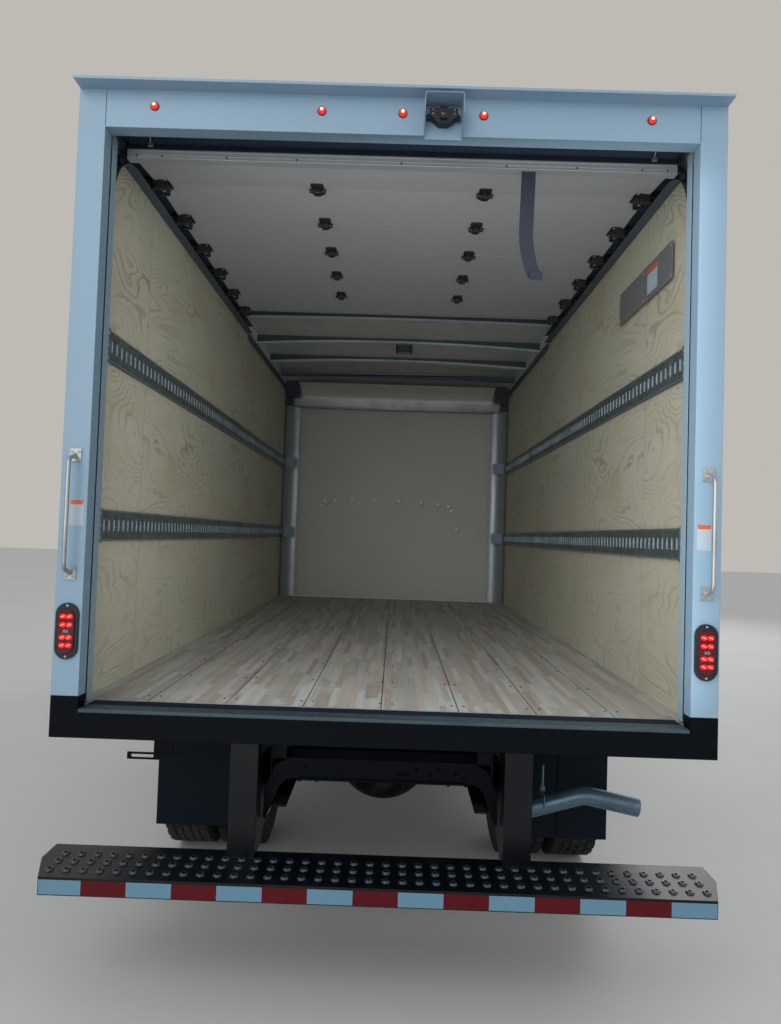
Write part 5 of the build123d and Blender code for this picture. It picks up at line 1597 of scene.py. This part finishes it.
@dataclass
class UnderTrim:
    """Bolts, clamps, hangers and ribs under the body."""

    datum: RearDatum

    def build(self) -> None:
        """Make the small parts of the chassis, the exhaust and the flaps."""
        at = self.datum.at
        heads = bolt("chassis_bolts", 10 * MM)
        members = (-2.920, -1.440, -0.440, 0.560, 1.260, 3.130)
        spread = [facing((side * 0.4255, y + shift, z), (side, 0, 0)) for side in SIDES
                  for y in members for shift in (-0.03, 0.03) for z in (0.625, 0.715)]
        spread += [facing((side * x, -2.5362, 0.700), BACK) for side in SIDES
                   for x in (0.590, 0.690, 0.805, 0.920, 1.020)]
        heads.scattered(spread).done(Wear.DARK_ZINC)
        rib = plate("flap_rib", (0.827, -2.541, 0.250), (0.835, -2.535, 0.670), 2, 1)
        rib.done(Wear.FLAP)
        bar = plate("flap_strips", (0.560, -2.539, 0.684), (1.050, -2.535, 0.716), 4, 1)
        bar.mirrored().done(Wear.CHASSIS)
        clamp = Piece.ring("pipe_clamp", (0, 0, 0), (1, 0, 0), 40 * MM, 4 * MM, 32)
        ears = plate("pipe_clamp_ears", (-0.010, -0.006, 0.038), (0.010, 0.006, 0.062), 3, 1)
        nut = bolt("pipe_clamp_nut", 6 * MM).scattered([facing((0, -0.006, 0.052), BACK)])
        hook = Piece.rod("pipe_hanger", (0, 0, 0.055), (0, 0, 0.150), 5 * MM, 10).rounded(1 * MM, 1)
        clamp.joined([ears, nut, hook])
        clamp.scattered([at(690, 463, -334)]).done(Wear.EXHAUST)
        band = Piece.ring("muffler_bands", (0.605, -0.700, 0.560), (0, 1, 0), 131 * MM, 5 * MM, 40)
        band.scattered([(0, 0, 0), (0, 0.15, 0), (0, 0.55, 0)]).done(Wear.EXHAUST)
        grip = Piece.rod("spring_u_bolts", (0.345, -0.075, 0.335), (0.345, -0.075, 0.475), 8 * MM,
                         10)
        grip.scattered([(0, 0, 0), (0.09, 0, 0), (0, 0.15, 0), (0.09, 0.15, 0)])
        base = plate("spring_plates", (0.325, -0.095, 0.336), (0.455, 0.095, 0.346), 12, 1.5)
        nuts = bolt("spring_plate_nuts", 11 * MM)
        nuts.scattered([facing((x, y, 0.336), DOWN) for x in (0.345, 0.435)
                        for y in (-0.075, 0.075)])
        grip.joined([base, nuts]).scattered([(0, REAR_AXLE, 0)]).mirrored().done(Wear.DARK_ZINC)
        drain = bolt("tank_drain", 14 * MM).scattered([facing((-0.660, 0.1, 0.3952), DOWN)])
        filler = Piece.rod("tank_filler", (-0.890, 0.120, 0.640), (-0.914, 0.120, 0.650), 36 * MM,
                           28, tip=34 * MM)
        filler.pick(lambda place, way: way.x < -0.8).inset(5 * MM, 4 * MM).inset(10 * MM, -2 * MM)
        drain.joined([filler]).done(Wear.PLASTIC)
        lid = plate("battery_lid", (0.436, 0.842, 0.728), (0.834, 1.358, 0.748), 14, 2)
        lid.done(Wear.PLASTIC)


@dataclass
class BodyTrim:
    """Rivets, seams, rails and side lamps of the load body."""

    side: float = 1.219
    sheet: float = 0.61

    def build(self) -> None:
        """Make the outside fittings of both walls and of the front wall."""
        x = self.side
        heads = rivet("wall_rivets", 5 * MM)
        spread = [(x, y / 100, z) for y in range(-318, 152, 15)
                  for z in (0.866, 0.946, 3.135, 3.190)]
        spread += [(x, y / 100, z / 100) for y in range(-263, 152, 61) for z in range(110, 305, 15)]
        sides = [facing((side * place[0], *place[1:]), (side, 0, 0)) for place in spread
                 for side in SIDES]
        heads.scattered(sides).done(Wear.BODY)
        seam = plate("wall_seams", (x - 0.001, -2.640, 0.975), (x + 0.0016, -2.620, 3.118), 1, 0.5)
        seam.scattered([(0, self.sheet * index, 0)
                        for index in range(7)]).mirrored().done(Wear.BODY)
        rail = plate("wall_rails", (x - 0.001, -3.236, 0.842), (x + 0.004, 1.500, 0.968), 3, 1.5)
        rail.pick(RIGHT).inset(8 * MM, -1 * MM)
        upper = plate("wall_rails_upper", (x - 0.001, -3.236, 3.118), (x + 0.004, 1.500, 3.215), 3,
                      1.5)
        rail.joined([upper]).mirrored().done(Wear.ALUMINIUM)
        lamp = dome("side_lamps", 24 * MM, 20 * MM)
        rim = Piece.ring("side_lamps_rim", (0, 0, 0.002), (0, 0, 1), 27 * MM, 4 * MM,
                         24).wear(Wear.PLASTIC)
        amber = lamp.copy("side_lamps_amber")
        red = [facing((side * (x + 0.003), -3.18, z), (side, 0, 0)) for side in SIDES
               for z in (0.905, 3.166)]
        gold = [facing((side * (x + 0.003), y, z), (side, 0, 0)) for side in SIDES
                for z in (0.905, 3.166)
                for y in (-0.85, 1.44)]
        rim.scattered(red + gold).fitted()
        lamp.scattered(red).done(Wear.RED_LENS)
        amber.scattered(gold).done(Wear.AMBER_LENS)
        front = rivet("front_rivets", 5 * MM)
        front.scattered([facing((column / 100, 1.6762, z), (0, 1, 0))
                         for column in range(-105, 106, 15)
                         for z in (0.90, 3.02)]).done(Wear.BODY)


@dataclass
class CabTrim:
    """Handles, wipers, mirror glass, lamps and controls of the cab."""

    screen_y: float = 3.394
    screen_z: float = 1.4
    screen_rake: float = 0.368

    def on_screen(self, x: float, z: float, lift: float = 0.0) -> Vector:
        """Point on the windscreen's outer face, lifted off it."""
        return Vector((x, self.screen_y - self.screen_rake * (z - self.screen_z) + lift, z))

    def build(self) -> None:
        """Make the cab's fittings."""
        self.doors()
        self.front()
        self.inside()

    def doors(self) -> None:
        """Handles, locks, cards, rests and belts of both doors."""
        cup = plate("door_cups", (1.0005, 2.390, 1.296), (1.004, 2.560, 1.366), 22, 1.5)
        cup.pick(RIGHT).inset(6 * MM, -1.2 * MM)
        lever = plate("door_levers", (1.006, 2.402, 1.322), (1.016, 2.548, 1.342), 8, 3)
        stub = Piece.rod("door_lever_stub", (1.002, 2.412, 1.332), (1.012, 2.412, 1.332), 8 * MM,
                         14)
        stub.rounded(1 * MM, 1)
        lock = Piece.rod("door_locks", (1.0, 2.430, 1.266), (1.005, 2.430, 1.266), 11 * MM, 20)
        lock.pick(RIGHT).inset(3 * MM, -1 * MM)
        card = plate("door_cards", (0.9385, 2.420, 0.990), (0.9525, 3.170, 1.325), 45, 4)
        card.pick(LEFT).inset(40 * MM, -4 * MM).inset(6 * MM, 3 * MM)
        rest = plate("door_rests", (0.896, 2.700, 1.150), (0.950, 3.080, 1.195), 18, 8)
        belt = plate("door_belts", (0.9985, 2.400, 1.408), (1.003, 3.200, 1.424), 3, 1.5)
        for piece, finish in ((cup, Wear.PLASTIC), (lever.joined([stub]), Wear.PLASTIC),
                              (lock, Wear.STEEL), (card, Wear.GREY_PLASTIC),
                              (rest, Wear.PLASTIC), (belt, Wear.SEAL)):
            piece.wear(finish)
            left = piece.copy(f"{piece.shape.name}_left", FLIP)
            piece.fitted("door_right")
            left.fitted("door_left")

    def front(self) -> None:
        """Wipers, mirrors, lamps, grille frame and steps."""
        for index, x in enumerate((-0.62, 0.02)):
            foot = self.on_screen(x, 1.418, 0.012)
            tip = self.on_screen(x + 0.46, 1.56, 0.016)
            arm = Piece.rod(f"wiper_{index}", foot, tip, 6 * MM, 10, tip=4 * MM)
            hub = Piece.rod(f"wiper_hub_{index}", foot - Vector((0, 0.016, 0)),
                            foot + Vector((0, 0.012, 0)), 16 * MM, 18)
            blade = Piece.rod(f"wiper_blade_{index}", self.on_screen(x + 0.12, 1.475, 0.012),
                              self.on_screen(x + 0.70, 1.60, 0.012), 5 * MM, 6)
            arm.joined([hub.rounded(2 * MM), blade]).rounded(1 * MM, 1).done(Wear.PLASTIC, "cab")
        glass = plate("mirror_panes", (1.142, 3.3235, 1.474), (1.288, 3.3260, 1.706), 18, 0.8)
        low = plate("mirror_panes_low", (1.142, 3.3235, 1.354), (1.288, 3.3260, 1.460), 18, 0.8)
        low.pick(REAR).inset(6 * MM, 1 * MM)
        glass.joined([low]).mirrored().done(Wear.MIRROR, "cab")
        shell = plate("mirror_shells", (1.130, 3.372, 1.340), (1.300, 3.412, 1.720), 24, 10)
        shell.mirrored().done(Wear.PLASTIC, "cab")
        lamp = dome("roof_lamps", 26 * MM, 24 * MM)
        lamp.everything().resize((1.7, 1, 1), (0, 0, 0))
        lamp.scattered([(x, 2.94, 2.264)
                        for x in (-0.58, -0.16, 0.0, 0.16, 0.58)]).done(Wear.AMBER_LENS, "cab")
        bowl = dome("lamp_bowls", 66 * MM, 16 * MM, 32)
        bowl.pick(TOP).inset(8 * MM, 5 * MM)
        bowls = [facing((side * x, 3.356, 0.835), (0, 1, 0)) for side in SIDES
                 for x in (0.72, 0.86)]
        bowl.scattered(bowls).done(Wear.MIRROR, "cab")
        turn = plate("turn_lamps", (0.655, 3.4185, 0.690), (0.905, 3.4245, 0.728), 10, 2)
        turn.mirrored().done(Wear.AMBER_LENS, "cab")
        frame = plate("grille_frame", (-0.575, 3.416, 0.764), (0.575, 3.426, 0.966), 30, 3)
        frame.pick(lambda place, way: abs(way.y) > 0.9).inset(16 * MM)
        frame.pick(lambda place, way: abs(way.y) > 0.9 and abs(place.z - 0.865) < 0.02
                   and abs(place.x) < 0.1)
        bpy.ops.mesh.bridge_edge_loops()
        frame.done(Wear.BUMPER, "cab")
        top = plate("bumper_step", (-0.36, 3.380, 0.6105), (0.36, 3.462, 0.6165), 12, 2)
        top.pick(TOP).inset(8 * MM, -1.5 * MM)
        top.done(Wear.PLASTIC)
        fog = Piece.rod("fog_lamps", (0.74, 3.462, 0.505), (0.74, 3.4795, 0.505), 48 * MM, 32)
        fog.pick(lambda place, way: way.y > 0.9).inset(6 * MM)
        fog.extrude((0, -10 * MM, 0)).inset(5 * MM, 3 * MM)
        fog.wear(Wear.PLASTIC)
        fog.wear(Wear.CLEAR_LENS, lambda place, way: way.y > 0.9 and place.y < 3.476)
        fog.mirrored().fitted()
        tread = plate("step_treads", (0.720, 2.900, 0.4805), (0.982, 3.280, 0.4845), 10, 1)
        studs = eyelet("step_studs", 8 * MM, 34 * MM, 2.5 * MM)
        studs.scattered([(0.75 + 0.034 * column, 2.93 + 0.054 * row, 0.4845) for column in range(7)
                         for row in range(7)])
        tread.joined([studs]).mirrored().done(Wear.ALUMINIUM, "cab")

    def inside(self) -> None:
        """Dials, vents, panel, glove box, pedals, levers and wheel grip."""
        hood = plate("dial_hood", (-0.86, 3.060, 1.395), (-0.47, 3.200, 1.47), 30, 10)
        hood.pick(REAR).inset(12 * MM, -14 * MM)
        hood.done(Wear.PLASTIC, "cab")
        dial = Piece.rod("dials", (0, 0, 0), (0, 0, 0.008), 0.026, 28)
        dial.pick(TOP).inset(3 * MM).extrude((0, 0, -3 * MM))
        needle = plate("dials_needle", (-0.0012, -0.004, 0.0055), (0.0012, 0.019, 0.0068), 0.5, 0)
        dial.wear(Wear.PLASTIC).wear(Wear.WHITE_PRINT, sunk(0.0062))
        dial.joined([needle.wear(Wear.ORANGE_PRINT)])
        turns = ((-0.76, 40), (-0.665, 90), (-0.57, -30))
        dial.scattered([facing((x, 3.069, 1.432), BACK, turn) for x, turn in turns])
        dial.fitted("cab")
        vent = plate("dash_vents", (-0.075, -0.004, -0.026), (0.075, 0.004, 0.026), 10, 1.5)
        vent.pick(REAR).inset(5 * MM, -3 * MM)
        slat = plate("dash_vent_slats", (-0.068, -0.004, -0.002), (0.068, 0.002, 0), 0.5, 0)
        slat.scattered([(0, 0, 0.010 * index) for index in (-1.5, -0.5, 0.5, 1.5)])
        vent.joined([slat])
        vent.scattered([(x, 3.134, 1.345) for x in (-0.40, -0.20, 0.20, 0.80)])
        vent.done(Wear.PLASTIC, "cab")
        panel = plate("dash_panel", (-0.13, 3.112, 1.20), (0.13, 3.124, 1.31), 12, 3)
        knobs = dome("dash_panel_knobs", 15 * MM, 16 * MM, 16)
        knobs.scattered([facing((x, 3.112, 1.232), BACK) for x in (-0.08, 0.0, 0.08)])
        keys = plate("dash_panel_keys", (-0.102, 3.109, 1.272), (-0.070, 3.114, 1.292), 3, 1)
        keys.scattered([(0.043 * index, 0, 0) for index in range(5)])
        small = [knobs.wear(Wear.PLASTIC), keys.wear(Wear.PLASTIC)]
        panel.wear(Wear.GREY_PLASTIC).joined(small).fitted("cab")
        lid = plate("glove_lid", (0.42, 3.116, 1.205), (0.86, 3.126, 1.305), 16, 3)
        catch = plate("glove_catch", (0.62, 3.110, 1.285), (0.68, 3.118, 1.298), 3, 1)
        lid.wear(Wear.GREY_PLASTIC).joined([catch.wear(Wear.PLASTIC)]).fitted("cab")
        pad = plate("pedals", (-0.030, -0.006, -0.045), (0.030, 0.004, 0.045), 10, 2)
        stalk = Piece.rod("pedal_stalks", (0, 0.002, 0.03), (0, 0.09, 0.19), 7 * MM, 10)
        stalk.rounded(1 * MM, 1)
        pad.pick(REAR).inset(5 * MM, 1 * MM)
        pad.joined([stalk]).scattered([(x, 3.13, 1.02) for x in (-0.78, -0.67, -0.55)])
        pad.done(Wear.PLASTIC, "cab")
        lever = Piece.rod("gear_lever", (-0.22, 2.98, 1.146), (-0.22, 2.93, 1.33), 9 * MM, 12,
                          tip=7 * MM)
        knob = dome("gear_knob", 22 * MM, 44 * MM, 20).scattered([(-0.22, 2.93, 1.315)])
        boot = Piece.rod("gear_boot", (-0.22, 2.98, 1.145), (-0.22, 2.97, 1.20), 60 * MM, 20,
                         tip=14 * MM)
        for height in (1.165, 1.182):
            boot.everything().cut((-0.22, 2.98, height), (0, 0, 1))
        lever.joined([knob, boot.rounded(4 * MM)]).done(Wear.PLASTIC, "cab")
        ring = Piece.ring("wheel_grip", (0, 0, 0), (0, 0, 1), 0.215, 0.0165, 48)
        ring.scattered([facing((-0.665, 2.910, 1.340), (0, 0.5, -0.866))])
        ring.done(Wear.PLASTIC, "hand_wheel")
        stalks = Piece.rod("column_stalks", (-0.665, 2.955, 1.262), (-0.50, 2.930, 1.286), 6 * MM,
                           10, tip=8 * MM)
        other = Piece.rod("column_stalk_left", (-0.665, 2.955, 1.262), (-0.83, 2.930, 1.286),
                          6 * MM, 10, tip=8 * MM)
        stalks.joined([other]).rounded(2 * MM).done(Wear.PLASTIC, "cab")


@dataclass
class Seats:
    """Two seats: moulded plinths, and soft parts that cloth simulation fills."""

    voxel: float = 0.0085
    cap: float = 0.022
    frames: int = 20
    middle: float = 0.665
    pressure: float = 4.0

    def channel(self, place: Vector, along: float) -> bool:
        """Whether a place lies on a long seam or, by its distance along, on the cross seam."""
        across = abs(place.x - self.middle)
        return 0.10 < across < 0.113 or (abs(along) < 0.006 and across < 0.1)

    def filled(self, form: Piece, sewn: Test) -> Piece:
        """Swell a form as cloth with air pressure, held where it is sewn, and smooth it.

        Args:
            form: the slightly smaller starting form.
            sewn: what stays where it is: the flat underside and the sewn channels.

        Returns:
            The finished cushion.
        """
        form.modify("REMESH", mode="VOXEL", voxel_size=self.voxel)
        mesh = form.shape.data
        group = form.shape.vertex_groups.new(name="sewn")
        group.add([point.index for point in mesh.vertices if sewn(point.co, point.normal)], 1.0,
                  "ADD")
        start = [point.co.copy() for point in mesh.vertices]
        form.grasp()
        bpy.ops.object.modifier_add(type="CLOTH")
        cloth = form.shape.modifiers[-1]
        cloth.settings.use_pressure, cloth.settings.uniform_pressure_force = True, self.pressure
        cloth.settings.effector_weights.gravity = 0.0
        cloth.settings.vertex_group_mass = "sewn"
        cloth.point_cache.frame_start, cloth.point_cache.frame_end = 1, self.frames
        for frame in range(1, self.frames + 1):
            bpy.context.scene.frame_set(frame)
        bpy.ops.object.modifier_apply(modifier=cloth.name)
        for point, old in zip(form.shape.data.vertices, start):
            shift = point.co - old
            if shift.length > self.cap:
                point.co = old + shift * (self.cap / shift.length)
        bpy.context.scene.frame_set(1)
        form.shape.vertex_groups.clear()
        return form.modify("SUBSURF", levels=1, render_levels=1)

    def build(self) -> None:
        """Make the right-hand seat and its twin."""
        cushion = plate("seat_cushion_right", (0.452, 2.155, 1.158), (0.878, 2.655, 1.252), 50, 22)
        back = plate("seat_back_right", (0.458, 2.040, 1.262), (0.872, 2.118, 1.640), 50, 22)
        back.pick(lambda place, way: place.z > 1.5, Pick.POINT)
        back.resize((0.86, 1, 1), (self.middle, 2.08, 1.6))
        head = plate("seat_headrest_right", (0.555, 2.044, 1.690), (0.775, 2.112, 1.806), 30, 20)
        soft = (self.filled(cushion, lambda place, way: place.z < 1.163 or (
                    place.z > 1.2 and self.channel(place, place.y - 2.36))),
                self.filled(back, lambda place, way: place.y < 2.045 or (
                    place.y > 2.1 and self.channel(place, place.z - 1.46))),
                self.filled(head, lambda place, way: place.y < 2.048))
        for piece in soft:
            twin = piece.copy(piece.shape.name.replace("right", "left"), FLIP)
            for side in (piece, twin):
                side.done(Wear.SEAT, "cab", smooth=80.0)
        plinth = plate("seat_plinths", (0.462, 2.165, 0.926), (0.868, 2.640, 1.150), 40, 6)
        plinth.pick(lambda place, way: abs(way.x) > 0.9 or abs(way.y) > 0.9).inset(0.03, -0.006)
        shell = plate("seat_shells", (0.462, 2.012, 1.150), (0.868, 2.043, 1.640), 50, 6)
        tray = plate("seat_trays", (0.440, 2.135, 1.146), (0.890, 2.668, 1.164), 40, 5)
        posts = Piece.rod("seat_posts", (0.610, 2.078, 1.60), (0.610, 2.078, 1.72), 7 * MM, 14)
        posts.scattered([(0, 0, 0), (0.11, 0, 0)]).rounded(1 * MM, 1).wear(Wear.STEEL)
        lever = Piece.rod("seat_levers", (0.885, 2.30, 1.10), (0.885, 2.42, 1.115), 9 * MM, 12,
                          tip=12 * MM)
        buckle = plate("seat_buckles", (0.424, 2.215, 1.13), (0.442, 2.265, 1.24), 8, 4)
        plinth.joined([shell, tray, lever.rounded(3 * MM), buckle])
        plinth.wear(Wear.PLASTIC).joined([posts]).mirrored().fitted("cab", stands_for=["seats"])


@dataclass
class Viewpoint:
    """The camera, low behind the open body."""

    place: Triple = (0.0208, -5.855, 1.626)
    yaw: float = -0.007
    pitch: float = 0.034
    roll: float = 0.033
    lens: float = 24.4
    sensor: float = 36.0
    reach: float = 200.0

    def build(self) -> None:
        """Make the camera and set it as the scene's."""
        camera = bpy.data.objects.new("camera", bpy.data.cameras.new("camera"))
        bpy.context.scene.collection.objects.link(camera)
        camera.data.lens = self.lens
        camera.data.sensor_width = self.sensor
        camera.data.clip_end = self.reach
        sy, cy = math.sin(self.yaw), math.cos(self.yaw)
        sp, cp = math.sin(self.pitch), math.cos(self.pitch)
        ahead = Vector((sy * cp, cy * cp, sp))
        up = Vector((-sy * sp, -cy * sp, cp))
        right = Vector((cy, -sy, 0.0))
        side = right * math.cos(self.roll) + up * math.sin(self.roll)
        head = up * math.cos(self.roll) - right * math.sin(self.roll)
        turn = Matrix((side, head, -ahead)).transposed().to_4x4()
        camera.matrix_world = Matrix.Translation(self.place) @ turn
        bpy.context.scene.camera = camera


@dataclass
class Studio:
    """Pale floor, plain surroundings and soft lamps."""

    floor_half: float = 40.0
    wall: Colour = ink(190, 187, 181)
    daylight: Colour = (0.93, 0.97, 1.0, 1)
    level: float = 0.6
    lamps: tuple[tuple[str, Triple, Triple, float, float], ...] = (
        ("behind", (-3.0, -13.5, 3.6), (0.2, -1.0, 1.3), 6.0, 270.0),
        ("doorway", (0.15, -3.30, 2.02), (0.45, 0.0, 2.02), 2.0, 12.0),
        ("key", (-4.5, -9.0, 7.5), (0.0, -2.0, 1.0), 5.0, 120.0),
        ("fill", (6.0, -8.0, 4.0), (0.0, -1.5, 1.4), 5.0, 60.0),
        ("front", (5.0, 9.0, 6.0), (0.0, 2.0, 1.0), 5.0, 220.0),
    )

    def build(self) -> None:
        """Make the floor, the world and the lamps."""
        floor = Piece("studio_floor", bpy.ops.mesh.primitive_plane_add, size=2 * self.floor_half)
        floor.wear(Terrazzo("studio_terrazzo"))
        clear_selection()
        world = bpy.data.worlds.new("studio")
        bpy.context.scene.world = world
        world.use_nodes = True
        tree = world.node_tree
        tree.nodes.clear()
        output = tree.nodes.new("ShaderNodeOutputWorld")
        path = tree.nodes.new("ShaderNodeLightPath")
        mix = tree.nodes.new("ShaderNodeMixShader")
        seen, lit = tree.nodes.new("ShaderNodeBackground"), tree.nodes.new("ShaderNodeBackground")
        for node, colour, strength in ((seen, self.wall, 1.0), (lit, self.daylight, self.level)):
            node.inputs["Color"].default_value = colour
            node.inputs["Strength"].default_value = strength
        first, seen_ray = (tree.nodes.new("ShaderNodeMath") for _ in range(2))
        first.operation = seen_ray.operation = "MAXIMUM"
        for start, end in ((path.outputs["Is Camera Ray"], first.inputs[0]),
                           (path.outputs["Is Glossy Ray"], first.inputs[1]),
                           (first.outputs[0], seen_ray.inputs[0]),
                           (path.outputs["Is Transmission Ray"], seen_ray.inputs[1]),
                           (seen_ray.outputs[0], mix.inputs["Fac"]),
                           (lit.outputs[0], mix.inputs[1]),
                           (seen.outputs[0], mix.inputs[2]),
                           (mix.outputs[0], output.inputs["Surface"])):
            tree.links.new(start, end)
        for lamp in self.lamps:
            self.lamp(*lamp)

    def lamp(self, name: str, place: Triple, target: Triple, size: float, power: float) -> None:
        """Add a soft square lamp that points at a target."""
        light = bpy.data.lights.new(name, "AREA")
        light.shape, light.size, light.energy = "SQUARE", size, power
        holder = bpy.data.objects.new(name, light)
        holder.visible_camera = False
        turn = (Vector(target) - Vector(place)).to_track_quat("-Z", "Y").to_matrix().to_4x4()
        holder.matrix_world = Matrix.Translation(place) @ turn
        bpy.context.scene.collection.objects.link(holder)


def dress_nodes(nodes: dict[str, bpy.types.Object]) -> None:
    """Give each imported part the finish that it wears."""
    for finish, names in NODE_FINISHES.items():
        for name in names.split():
            for holder in nodes[name].material_slots:
                holder.material = finish.material()
    LOG.info("dressed %d parts", sum(len(names.split()) for names in NODE_FINISHES.values()))


def main() -> None:
    """Build the whole scene in order."""
    logging.basicConfig(level=logging.INFO, format="%(name)s %(message)s")
    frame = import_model()
    Viewpoint().build()
    bpy.context.scene.view_settings.view_transform = "Standard"
    dress_nodes(frame["nodes"])
    datum = RearDatum()
    for trim in (StepTrim, SillTrim, FrameTrim, RearLamps, CameraTrim, DoorTrim, CargoTrim,
                 HoldTrim, UnderTrim):
        trim(datum).build()
    for trim in (Tread, WheelTrim, BodyTrim, CabTrim, Seats):
        trim().build()
    Studio().build()
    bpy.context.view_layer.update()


if __name__ == "__main__":
    main()
